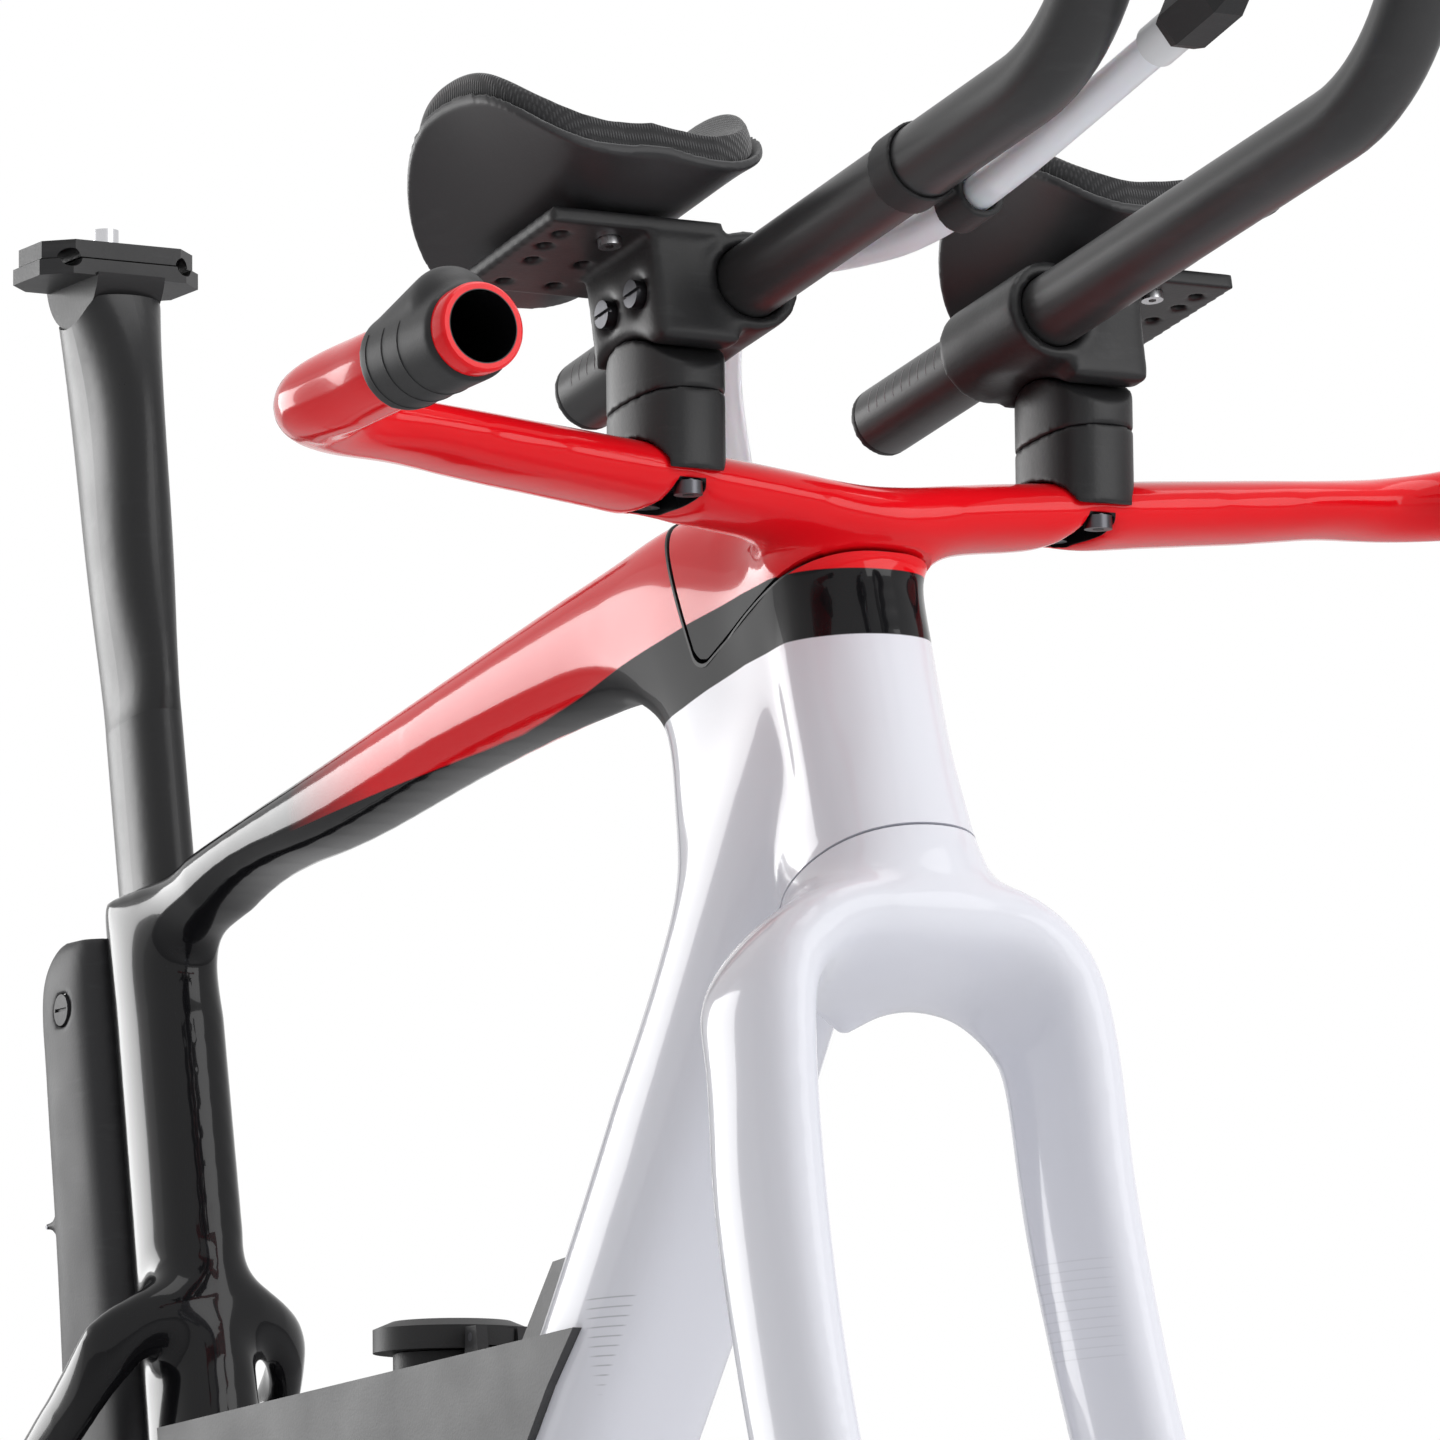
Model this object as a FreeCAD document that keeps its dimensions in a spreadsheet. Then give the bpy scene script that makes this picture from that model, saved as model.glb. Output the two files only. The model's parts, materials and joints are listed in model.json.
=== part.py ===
import FreeCAD, Part
import math
import os
from FreeCAD import Placement, Rotation, Vector

# Time trial frameset with integrated cockpit.
# Millimetres; X forward, Y to the rider's left, Z up; origin at the bottom bracket's centre.

doc = FreeCAD.newDocument("TimeTrialFrameset")
sheet = doc.addObject("Spreadsheet::Sheet", "Sizes")

SIZES = {
    # frame geometry
    "reach": 400, "stack": 515, "head_angle": 72.5, "head_length": 88.5,
    "head_nose": 26.5, "head_half_width": 23, "head_tail": 75,
    "seat_angle": 79.7, "seat_axis_offset": 16.4, "seat_tube_top": 477,
    "seat_tube_half_chord": 24, "seat_tube_half_width": 15.5,
    "ridge_radius": 70, "ridge_height": 57.5, "top_tube_depth": 30, "top_tube_half_width": 16,
    "down_tube_half_depth": 26, "down_tube_half_width": 25, "down_tube_belly": 17,
    "bracket_bore": 20.5, "bracket_wall": 6.5, "bracket_width": 86.5,
    "chain_stay_length": 415, "axle_drop": 70, "rear_spacing": 142, "front_spacing": 100,
    "axle_bore": 6.05, "dropout_radius": 13, "dropout_thickness": 9, "stay_half_height": 10,
    "stay_half_width": 6.5, "stay_bridge_height": 322,
    # stem pocket and crown gap, both turned about the steering axis
    "pocket_radius": 59, "pocket_flare": 0.2, "pocket_corner": 6, "pocket_crown": 3, "pocket_slope": 0.12,
    "gasket_thick": 0.8, "stem_gap": 1.2,
    "crown_gap": 0.7, "crown_reach": 47.5, "crown_sweep_gap": 1.5,
    # headset and steerer
    "upper_bearing_outer": 20.9, "upper_bearing_inner": 15.1, "upper_bearing_height": 6.5,
    "lower_bearing_outer": 23.4, "lower_bearing_inner": 17.05, "lower_bearing_height": 7,
    "bearing_sink": 3, "running_gap": 0.06, "steerer_radius": 14.3, "steerer_bore": 11.6,
    "steerer_clear": 2.5, "steerer_top": 24,
    # fork
    "fork_rake": 40, "fork_sweep": 26.5, "leg_half_chord": 27, "leg_half_width": 10.5,
    "leg_spread": 51, "shoulder_radius": 31, "shoulder_drop": 24, "axle_boss": 12, "axle_boss_length": 18,
    # base bar
    "bar_half_width": 200.6, "bar_half_chord": 24, "bar_half_thick": 11.5, "horn_radius": 12.5,
    "horn_bore": 10.3, "horn_depth": 70, "horn_reach": 149, "bar_rise": 18, "bar_forward": 12,
    "elbow_radius": 35, "tape_thick": 1.2, "tape_length": 42, "tape_setback": 7, "hump_rise": 9,
    # seatpost and saddle clamp
    "post_half_chord": 20.3, "post_half_width": 9.5, "post_gap": 0.3, "post_insert": 110, "post_slot": 140,
    "wedge_depth": 18, "wedge_reach": 7, "wedge_half_width": 6, "wedge_bolt": 2.5,
    "saddle_height": 703, "rail_radius": 3.5, "rail_spread": 44, "cradle_radius": 22,
         "clamp_half_width": 31,
    "clamp_half_length": 20, "clamp_bolt": 3,
    # storage boxes
    "rear_box_half_width": 20, "rear_box_wall": 2.2, "door_low": 363.5, "door_high": 446,
         "door_half_width": 15,
    "door_raise": 1.2, "latch_radius": 5.5, "frame_box_half_width": 28, "cover_thick": 2.6,
         "neck_radius": 19,
    "neck_wall": 3, "cap_radius": 25.5, "cap_height": 10,
    # armrests and extensions
    "riser_side": 71, "riser_half_chord": 21, "riser_half_width": 14, "riser_split": 9.5, "tilt_rise": 38,
    "tilt_radius": 28, "tilt_gap": 0.35, "riser_bolt": 2.4, "riser_bolt_pitch": 26,
    "arm_side": 52.4, "arm_rise": 42, "arm_angle": 10, "extension_radius": 11.1, "extension_bore": 9.6,
    "extension_gap": 0.3, "clamp_wall": 4.1, "clamp_length": 44, "extension_rear": 80.4,
         "extension_straight": 258,
    "bend_radius": 60, "bend_angle": 45, "grip_length": 110, "plate_thick": 4.8, "cup_thick": 3.4,
         "pad_thick": 9,
    "cup_half_width": 45, "cup_half_length": 52, "cup_centre": 39.6, "cup_back": 9,
    # drink hose
    "hose_radius": 5.25, "port_radius": 11, "port_bore": 7.4, "port_height": 12,
}
for row, (alias, value) in enumerate(SIZES.items(), 1):
    sheet.set(f"A{row}", alias)
    sheet.set(f"B{row}", str(value))
    sheet.setAlias(f"B{row}", alias)
doc.recompute()

NODES = []
# Seams of round faces are turned off the bike's middle plane
ROUND_SEAM = 37.0
SIDES = (("right", -1), ("left", 1))
X_AXIS = Vector(1, 0, 0)
Y_AXIS = Vector(0, 1, 0)
Z_AXIS = Vector(0, 0, 1)


def size(alias):
    """A driving dimension, read from the sheet."""
    return float(sheet.get(alias))


def node(item, label):
    """Mark a document object as a sub-part to be written under its label."""
    item.Label = label
    NODES.append(item)
    return item


def feature(name, shape):
    item = doc.addObject("Part::Feature", name)
    item.Shape = shape
    return item


def rod(name, radius, height, base, axis):
    """Cylinder whose radius and height are expressions on the sheet."""
    item = doc.addObject("Part::Cylinder", name)
    item.setExpression("Radius", radius)
    item.setExpression("Height", height)
    item.Placement = Placement(base, Rotation(Z_AXIS, axis) * Rotation(Z_AXIS, ROUND_SEAM))
    return item


def chain(kind, name, base, tools):
    """Boolean steps one tool at a time; the last step carries the name."""
    for step, tool in enumerate(tools, 1):
        item = doc.addObject(kind, name if step == len(tools) else f"{name}_step_{step}")
        item.Base = base
        item.Tool = tool
        base = item
    return base


def fuse(name, *items):
    return chain("Part::Fuse", name, items[0], items[1:])


def cut(name, base, *tools):
    return chain("Part::Cut", name, base, tools)


def common(name, base, tool):
    item = doc.addObject("Part::Common", name)
    item.Base = base
    item.Tool = tool
    return item


def oval(centre, fore, side, front, rear, half_width, square=2.4):
    """Closed outline of four smooth quarters, with its own reach to the front and to the rear."""
    pull = (8 * 2 ** (-1 / square) - 4) / 3
    corners = [fore * front, side * half_width, fore * -rear, side * -half_width]
    edges = []
    for i, start in enumerate(corners):
        end = corners[(i + 1) % 4]
        quarter = Part.BezierCurve()
        quarter.setPoles([centre + start, centre + start + end * pull, centre + end + start * pull,
                          centre + end])
        edges.append(quarter.toShape())
    return Part.Wire(edges)


def loft(outlines):
    return Part.makeLoft(outlines, True, False)


def along_path(points, half_heights, half_widths, hint, square=2.4):
    """Loft of ovals square to a path; the hint gives the direction of the half heights."""
    outlines = []
    last = len(points) - 1
    for i, point in enumerate(points):
        run = points[min(i + 1, last)] - points[max(i - 1, 0)]
        run.normalize()
        high = hint - run * hint.dot(run)
        high.normalize()
        wide = run.cross(high)
        outlines.append(oval(point, high, wide, half_heights[i], half_heights[i], half_widths[i], square))
    return loft(outlines)


# Reference frames of the steering axis and of the seat tube
head_tilt = math.radians(size("head_angle"))
head = Vector(size("reach"), 0, size("stack"))
steer_up = Vector(-math.cos(head_tilt), 0, math.sin(head_tilt))
steer_fore = Vector(math.sin(head_tilt), 0, math.cos(head_tilt))
seat_tilt = math.radians(size("seat_angle"))
seat_up = Vector(-math.cos(seat_tilt), 0, math.sin(seat_tilt))
seat_fore = Vector(math.sin(seat_tilt), 0, math.cos(seat_tilt))


def steered(fore, side, up):
    """Point given from where the stem meets the head tube, along the steering axes."""
    return head + steer_fore * fore + Y_AXIS * side + steer_up * up


def seated(height, fore=0, side=0):
    """Point beside the seat tube's axis at a height above the bottom bracket."""
    base = Vector(size("seat_axis_offset") - height / math.tan(seat_tilt), side, height)
    return base + seat_fore * fore


rear_axle = Vector(-math.sqrt(size("chain_stay_length") ** 2 - size("axle_drop") ** 2), 0,
                   size("axle_drop"))
axle_up = (size("axle_drop") - size("stack") - steer_fore.z * size("fork_rake")) / steer_up.z
front_axle = steered(size("fork_rake"), 0, axle_up)


def turned(radius, up):
    """Point of a turned profile about the steering axis."""
    angle = math.radians(ROUND_SEAM)
    return steered(-radius * math.cos(angle), radius * math.sin(angle), up)


def steer_disc(name, radius, top, bottom):
    """Round cutter about the steering axis between two levels."""
    profile = [turned(0, bottom), turned(radius, bottom), turned(radius, top), turned(0, top)]
    face = Part.Face(Part.makePolygon(profile + profile[:1]))
    return feature(name, face.revolve(head, steer_up, 360))


def pocket(name, inset):
    """Bowl turned about the steering axis: coned floor, rounded corner, flaring wall; inset moves it inwards."""
    corner = size("pocket_corner")
    flare = size("pocket_flare")
    radius = size("pocket_radius") - inset
    crown = size("pocket_crown") + inset
    floor = crown - size("pocket_slope") * (radius - corner)
    top = crown + 120
    start = turned(radius - corner, floor)
    middle = turned(radius - 0.25 * corner, floor + 0.3 * corner)
    end = turned(radius + flare * corner, floor + corner)
    rim = turned(radius + flare * (top - floor), top)
    centre_low = turned(0, crown)
    centre_high = turned(0, top)
    edges = [
        Part.makeLine(centre_low, start), Part.Arc(start, middle, end).toShape(),
        Part.makeLine(end, rim), Part.makeLine(rim, centre_high), Part.makeLine(centre_high, centre_low),
    ]
    return feature(name, Part.Face(Part.Wire(edges)).revolve(head, steer_up, 360))


# Outer form of the frame and stem, drawn as one body and parted at the pocket

def head_form():
    nose = size("head_nose")
    tail = size("head_tail")
    width = size("head_half_width")
    length = size("head_length")
    rows = [
        (26, 0.80 * nose, tail + 8, 0.80 * width), (12, 0.97 * nose, tail + 3, 0.96 * width),
        (0, nose, tail, width), (-0.35 * length, 0.98 * nose, tail, 0.94 * width),
        (-0.68 * length, 0.98 * nose, 0.84 * tail, 0.96 * width),
            (-length, 1.03 * nose, 0.68 * tail, 1.07 * width),
    ]
    return loft([oval(steered(0, 0, up), steer_fore, Y_AXIS, f, r, w, 2.2) for up, f, r, w in rows])


def spine_form():
    """Top tube from the seat cluster to the stem, with its ridge straight up to the pocket."""
    depth = size("top_tube_depth")
    width = size("top_tube_half_width")
    rear = seated(size("seat_tube_top"), size("seat_tube_half_chord") - 1.5)
    front = steered(-size("ridge_radius"), 0, size("ridge_height"))
    rows = [
        (-0.03, depth - 8, width - 1), (0.10, depth - 7, width - 1.5), (0.30, depth - 4, width - 1),
            (0.52, depth, width),
        (0.72, depth + 5, width + 1), (0.82, depth + 9, width + 1.5), (0.92, depth + 19, width + 2.5),
        (1.0, depth + 42, width + 4),
    ]
    tops = [(rear + (front - rear) * part, deep, wide) for part, deep, wide in rows]
    tops += [
        (steered(-38, 0, 45), depth + 60, width + 5), (steered(-8, 0, 31), depth + 40, width + 5),
        (steered(16, 0, 21), depth + 14, width + 4),
    ]
    return loft([oval(top - Z_AXIS * (deep / 2), Z_AXIS, Y_AXIS, deep / 2, deep / 2, wide, 3.0)
                 for top, deep, wide in tops])


def neck_form():
    """Gusset that fills the corner between the top tube, the head tube and the down tube."""
    wide = size("down_tube_half_width")
    rows = [(-10, -90, -5, wide - 6), (-35, -87, 10, wide - 4.5), (-65, -81, 0, wide - 3),
            (-92, -76, -16, wide - 2),
            (-122, -94, -36, wide - 1)]
    outlines = []
    for drop, rear, front, half_width in rows:
        half = (front - rear) / 2
        centre = head + Vector((front + rear) / 2, 0, drop)
        outlines.append(oval(centre, X_AXIS, Y_AXIS, half, half, half_width, 3.4))
    return loft(outlines)


def down_tube_form():
    deep = size("down_tube_half_depth")
    wide = size("down_tube_half_width")
    top = steered(-68, 0, -73)
    normal = Vector(top.z, 0, -top.x)
    normal.normalize()
    rows = [
        (0.04, deep + 4, wide + 4), (0.16, deep + 3, wide + 2), (0.30, deep + 2, wide),
            (0.46, deep + 1, wide),
        (0.62, deep + 1.5, wide), (0.76, deep + 2, wide), (0.88, deep + 3, wide), (1.0, deep + 4, wide),
    ]
    points = [top * part + normal * (4 * size("down_tube_belly") * part * (1 - part)) for part, _,
              _ in rows]
    points.append(steered(-16, 0, -34))
    heights = [row[1] for row in rows] + [deep + 3]
    widths = [row[2] for row in rows] + [wide - 4]
    return along_path(points, heights, widths, Vector(-1, 0, 1), 3.2)


def seat_tube_form():
    chord = size("seat_tube_half_chord")
    wide = size("seat_tube_half_width")
    top = size("seat_tube_top")
    bridge = size("stay_bridge_height")
    rows = [
        (top, chord, wide), (top - 40, chord, wide), (bridge + 15, chord, wide + 0.5),
        (0.65 * bridge, chord + 1, wide + 2.5), (0.3 * bridge, chord + 4, wide + 6),
            (12, chord + 5, wide + 10),
    ]
    return loft([oval(seated(z), seat_fore, Y_AXIS, c, c, w, 2.8) for z, c, w in rows])


head_blank = feature("head_blank", head_form())
spine_blank = feature("spine_blank", spine_form())
down_tube_blank = feature("down_tube_blank", down_tube_form())
seat_tube_blank = feature("seat_tube_blank", seat_tube_form())
neck_blank = feature("neck_blank", neck_form())
bracket_base = Vector(0, -size("bracket_width") / 2, 0)
bracket_shell = rod("bracket_shell", "Sizes.bracket_bore + Sizes.bracket_wall", "Sizes.bracket_width",
                    bracket_base, Y_AXIS)
bracket_hole = rod("bracket_hole", "Sizes.bracket_bore", "Sizes.bracket_width", bracket_base, Y_AXIS)

pocket_cut = pocket("pocket_cut", 0)
crown_cut = steer_disc("crown_cut", size("crown_reach") + size("crown_sweep_gap"),
                       -size("head_length"), -size("head_length") - 170)
bearing_top = -size("bearing_sink")
bearing_floor = size("bearing_sink") - size("head_length")
upper_seat = rod("upper_seat", "Sizes.upper_bearing_outer",
                 "Sizes.upper_bearing_height + Sizes.bearing_sink + Sizes.pocket_crown + 5",
                 steered(0, 0, bearing_top - size("upper_bearing_height")), steer_up)
lower_seat = rod("lower_seat", "Sizes.lower_bearing_outer",
                 "Sizes.lower_bearing_height + Sizes.bearing_sink",
                 steered(0, 0, -size("head_length")), steer_up)
steerer_hole = rod("steerer_hole", "Sizes.steerer_radius + Sizes.steerer_clear",
                   "Sizes.head_length + Sizes.pocket_crown",
                   steered(0, 0, -size("head_length")), steer_up)



def seat_point(fore, side, up):
    """Point given from the middle of the seat tube's upper end, along the seat tube's axes."""
    return seated(size("seat_tube_top")) + seat_fore * fore + Y_AXIS * side + seat_up * up


def seat_prism(name, outline, half_width):
    """Solid with a fore-and-up outline at the seat tube, as wide to the right as to the left."""
    points = [seat_point(fore, -half_width, up) for fore, up in outline]
    face = Part.Face(Part.makePolygon(points + points[:1]))
    return feature(name, face.extrude(Y_AXIS * (2 * half_width)))


def prism(name, outline, start, end):
    """Solid with an outline of X and Z, from one Y to another."""
    points = [Vector(x, start, z) for x, z in outline]
    face = Part.Face(Part.makePolygon(points + points[:1]))
    return feature(name, face.extrude(Y_AXIS * (end - start)))


def post_prism(name, gap, low, high):
    """Straight length of the seatpost's section, grown by a gap."""
    outline = oval(seat_point(0, 0, low), seat_fore, Y_AXIS, size("post_half_chord") + gap,
                   size("post_half_chord") + gap, size("post_half_width") + gap, 2.6)
    return feature(name, Part.Face(outline).extrude(seat_up * (high - low)))


post_slot = post_prism("post_slot", size("post_gap"), -size("post_slot"), 30)
wedge_rear = size("post_half_chord") + 2 * size("post_gap")
wedge_front = wedge_rear + size("wedge_reach")
wedge_slot = seat_prism("wedge_slot",
                        [(wedge_rear - 6, -size("wedge_depth")), (wedge_front, -size("wedge_depth")),
                                       (wedge_front, 30), (wedge_rear - 6, 30)], size("wedge_half_width"))

frame_blank = fuse("frame_blank", spine_blank, seat_tube_blank, down_tube_blank, neck_blank, head_blank,
                   bracket_shell)
main_frame = node(cut("main_frame", frame_blank, pocket_cut, crown_cut, upper_seat, lower_seat,
                      steerer_hole,
                      bracket_hole, post_slot, wedge_slot), "main_frame")

# Seat stays, chain stays and the derailleur hanger

SEAT_STAY = [  # x, y, z, half height, half width
    (-31, 8, 331, 11, 12), (-32, 21, 326, 12, 10.5), (-37, 31.5, 318, 12.5, 7.5), (-48, 36.5, 306, 12.5, 6),
    (-74, 39.5, 285, 11.5, 5.8), (-108, 42.5, 260, 10.5, 5.5),
    (-150, 46, 232, 9.8, 5.5), (-215, 52, 192, 9, 5.2), (-280, 59, 152, 8.5, 5), (-345, 67.5, 112, 8.5, 5),
    (-398, 75.5, 79, 9, 4.5),
]
CHAIN_STAY = [
    (-6, 30, 0, 17, 9), (-45, 35, 2, 15.5, 8.5), (-100, 39, 7, 14, 7.5), (-160, 44, 15, 12.5, 7),
    (-230, 52, 30, 11, 6.5), (-305, 61.5, 47, 10, 6), (-370, 71, 61, 10, 5), (-406, 75.5, 69, 10, 4.5),
]
dropout_inner = size("rear_spacing") / 2
rear_hub_gap = rod("rear_hub_gap", "Sizes.dropout_radius + 12", "Sizes.rear_spacing",
                   rear_axle - Y_AXIS * dropout_inner, Y_AXIS)
rear_axle_hole = rod("rear_axle_hole", "Sizes.axle_bore",
                     "Sizes.rear_spacing + 2 * Sizes.dropout_thickness + 20",
                     rear_axle - Y_AXIS * (dropout_inner + size("dropout_thickness") + 10), Y_AXIS)


def stay_form(rows, sign):
    points = [Vector(x, sign * y, z) for x, y, z, _, _ in rows]
    return along_path(points, [row[3] for row in rows], [row[4] for row in rows], Z_AXIS, 2.4)


for side, sign in SIDES:
    boss = rod(f"dropout_boss_{side}", "Sizes.dropout_radius", "Sizes.dropout_thickness",
               rear_axle + Y_AXIS * (sign * dropout_inner), Y_AXIS * sign)
    lower = fuse(f"lower_stay_{side}", feature(f"lower_stay_form_{side}", stay_form(CHAIN_STAY, sign)),
                 boss)
    chain_stay = node(cut(f"chain_stay_{side}", lower, main_frame, bracket_hole, rear_hub_gap,
                          rear_axle_hole), f"chain_stay_{side}")
    upper = feature(f"upper_stay_form_{side}", stay_form(SEAT_STAY, sign))
    node(cut(f"seat_stay_{side}", upper, main_frame, rear_hub_gap, chain_stay, rear_axle_hole),
         f"seat_stay_{side}")

hanger_thick = 5
hanger_face = -dropout_inner - size("dropout_thickness")
hanger_plate = prism("hanger_plate", [(rear_axle.x + dx, rear_axle.z + dz) for dx, dz in
                                      ((-11, 9), (10, 9), (12, -8), (-4, -36), (-20, -36), (-22, -24))],
                     hanger_face, hanger_face - hanger_thick)
hanger_eye = rod("hanger_eye", "5", "30", Vector(rear_axle.x - 12, hanger_face + 10, rear_axle.z - 28),
                 -Y_AXIS)
node(cut("derailleur_hanger", hanger_plate, rear_axle_hole, hanger_eye), "derailleur_hanger")

# Headset bearings and the seal between stem and frame


def ring(name, outer, inner, height, base, axis):
    return cut(name, rod(f"{name}_body", outer, height, base, axis),
               rod(f"{name}_bore", inner, height, base, axis))


upper_base = steered(0, 0, bearing_top - size("upper_bearing_height"))
lower_base = steered(0, 0, bearing_floor)
node(ring("upper_bearing", "Sizes.upper_bearing_outer", "Sizes.upper_bearing_inner",
          "Sizes.upper_bearing_height",
          upper_base, steer_up), "upper_bearing")
node(ring("lower_bearing", "Sizes.lower_bearing_outer", "Sizes.lower_bearing_inner",
          "Sizes.lower_bearing_height",
          lower_base, steer_up), "lower_bearing")
stem_blank = fuse("stem_blank", head_blank, spine_blank)
seal_shell = cut("seal_shell", pocket_cut, pocket("seal_inner", size("gasket_thick")), upper_seat)
node(common("stem_seal", stem_blank, seal_shell), "stem_seal")

# Fork: two legs and the crown as one arch, a neck under the head tube, and the steerer

ARC_STEPS = 5


def leg_point(part, sign):
    """Point of a leg's centre line, from the shoulder at 0 to the axle at 1."""
    shoulder = -size("head_length") - size("shoulder_drop") - size("shoulder_radius")
    fore = -7 * (1 - part) + size("fork_rake") * part - 4 * size("fork_sweep") * part * (1 - part)
    inner = size("front_spacing") / 2 + size("axle_boss_length") / 2
    spread = size("leg_spread") + (inner - size("leg_spread")) * part ** 0.7
    return steered(fore, sign * spread, shoulder + (axle_up - shoulder) * part)


def fork_arch():
    """One loft up the right leg, over the crown and down the left leg."""
    chord = size("leg_half_chord")
    wide = size("leg_half_width")
    level = -size("head_length") - size("shoulder_drop")
    spread = size("leg_spread")
    leg_steps = 9
    half = []
    for i in range(leg_steps):
        part = 1.03 * (1 - i / leg_steps)
        half.append((leg_point(part, -1), chord - 7 * part, wide - 2 * part))
    for i in range(ARC_STEPS):
        turn = math.pi / 2 * i / (ARC_STEPS - 1)
        side = spread - size("shoulder_radius") * (1 - math.cos(turn))
        up = level - size("shoulder_radius") * (1 - math.sin(turn))
        share = i / (ARC_STEPS - 1)
        half.append((steered(-7 - share, -side, up), chord + 8 * share, wide + 3 * share))
    middle = [(steered(-8, 0, level), chord + 9, wide + 3.5)]
    other = [(Vector(p.x, -p.y, p.z), c, w) for p, c, w in reversed(half)]
    rows = half + middle + other
    return along_path([r[0] for r in rows], [r[1] for r in rows], [r[2] for r in rows], steer_fore, 2.5)


def fork_neck():
    level = -size("head_length") - size("crown_gap")
    nose = size("head_nose")
    width = size("head_half_width")
    reach = size("crown_reach")
    rows = [(level, 1.03 * nose, reach - 1, 1.06 * width), (level - 9, 1.05 * nose, reach, 1.2 * width),
            (level - 24, 0.95 * nose, reach - 3, 1.3 * width)]
    return loft([oval(steered(0, 0, up), steer_fore, Y_AXIS, f, r, w, 2.2) for up, f, r, w in rows])


def fork_keel():
    """Tail of the crown that hangs behind the tyre gap."""
    level = -size("head_length")
    reach = size("crown_reach")
    rows = [(level - 8, 20 - reach, 20, 18.5, 22), (level - 28, 14 - reach, 12, 13.5, 14),
            (level - 42, 6 - reach, 5, 5, 4)]
    return loft([oval(steered(middle, 0, up), steer_fore, Y_AXIS, f, r, w, 2.2) for up, middle, f, r,
                 w in rows])


steerer = rod("steerer", "Sizes.steerer_radius", "Sizes.head_length + Sizes.steerer_top + 20",
              steered(0, 0, -size("head_length") - 20), steer_up)
crown_race = rod("crown_race", "Sizes.lower_bearing_inner - Sizes.running_gap",
                 "Sizes.lower_bearing_height + Sizes.bearing_sink + 6",
                 steered(0, 0, -size("head_length") - 6), steer_up)
steerer_core = rod("steerer_core", "Sizes.steerer_bore", "Sizes.head_length + Sizes.steerer_top",
                   steered(0, 0, -size("head_length")), steer_up)
fork_bosses = []
for side, sign in SIDES:
    base = front_axle + Y_AXIS * (sign * size("front_spacing") / 2)
    fork_bosses.append(rod(f"axle_boss_{side}", "Sizes.axle_boss", "Sizes.axle_boss_length", base,
                           Y_AXIS * sign))
axle_run_out = 10
axle_width = f"Sizes.front_spacing + 2 * Sizes.axle_boss_length + 2 * {axle_run_out}"
axle_start = front_axle - Y_AXIS * (size("front_spacing") / 2 + size("axle_boss_length") + axle_run_out)
front_axle_hole = rod("front_axle_hole", "Sizes.axle_bore", axle_width, axle_start, Y_AXIS)
hub_gap = rod("hub_gap", "Sizes.axle_boss + 8", "Sizes.front_spacing",
              front_axle - Y_AXIS * (size("front_spacing") / 2), Y_AXIS)
crown_plane = steer_disc("crown_plane", 90, 0, -size("head_length") - size("crown_gap"))
arch_blank = cut("arch_blank",
                 fuse("arch_parts", feature("fork_arch", fork_arch()), feature("fork_neck", fork_neck()),
                                    feature("fork_keel", fork_keel()), *fork_bosses), crown_plane, hub_gap)
fork = node(cut("fork", fuse("fork_parts", arch_blank, steerer, crown_race), front_axle_hole,
                steerer_core), "fork")

# Base bar: stem tail cut from the frame's own form, wing and two forward horns

def bar_path():
    """Left half of the bar from the middle to the horn's tip: point, half chord, half thickness."""
    chord = size("bar_half_chord")
    thick = size("bar_half_thick")
    horn = size("horn_radius")
    half = size("bar_half_width")
    sweep = 12
    wing_rise = 15
    horn_rise = 6
    straight = half - size("elbow_radius")
    start = head + Vector(size("bar_forward"), 0, size("bar_rise"))
    wing_steps = 6
    rows = []
    for i in range(wing_steps):
        part = i / wing_steps
        offset = Vector(sweep * part ** 1.5, straight * part, wing_rise * part ** 0.85)
        rows.append((start + offset, chord - 4 * part, thick - 2.5 * part))
    elbow = start + Vector(sweep + size("elbow_radius"), straight, wing_rise)
    for i in range(ARC_STEPS + 1):
        part = i / ARC_STEPS
        turn = math.pi / 2 * part
        offset = Vector(-math.cos(turn), math.sin(turn),
                        0) * size("elbow_radius") + Z_AXIS * (0.3 * horn_rise * part)
        rows.append((elbow + offset, chord - 4 + (horn - chord + 4) * part,
                     thick - 2.5 + (horn - thick + 2.5) * part))
    tip = Vector(size("horn_reach") + head.x, half, elbow.z + horn_rise)
    base = rows[-1][0]
    horn_steps = 4
    for i in range(1, horn_steps + 1):
        rows.append((base + (tip - base) * (i / horn_steps), horn, horn))
    return rows


def bar_wing():
    left = bar_path()
    right = [(Vector(p.x, -p.y, p.z), c, t) for p, c, t in reversed(left[1:])]
    path = right + left
    last = len(path) - 1
    outlines = []
    for i, (point, c, t) in enumerate(path):
        run = path[min(i + 1, last)][0] - path[max(i - 1, 0)][0]
        run.normalize()
        across = run.cross(Z_AXIS)
        across.normalize()
        outlines.append(oval(point, across, across.cross(run), c, c, t, 2.1))
    return loft(outlines)


stem_space = pocket("stem_space", size("stem_gap"))
stem_form = common("stem_form", stem_blank, stem_space)
seal_clear = 0.5
under_bar = steer_disc("under_bar", 100, size("stem_gap") + seal_clear, -40)
wing = cut("wing", feature("wing_blank", bar_wing()), under_bar)
horn_tip = bar_path()[-1][0]
horn_axis = horn_tip - bar_path()[-3][0]
horn_axis.normalize()
horn_holes = []
for side, sign in SIDES:
    tip = Vector(horn_tip.x, sign * horn_tip.y, horn_tip.z)
    horn_holes.append(rod(f"horn_hole_{side}", "Sizes.horn_bore", "Sizes.horn_depth", tip + horn_axis,
                          -horn_axis))
stem_hole = rod("stem_hole", "Sizes.steerer_radius", "Sizes.steerer_top + 60", steered(0, 0, 0), steer_up)

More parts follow.
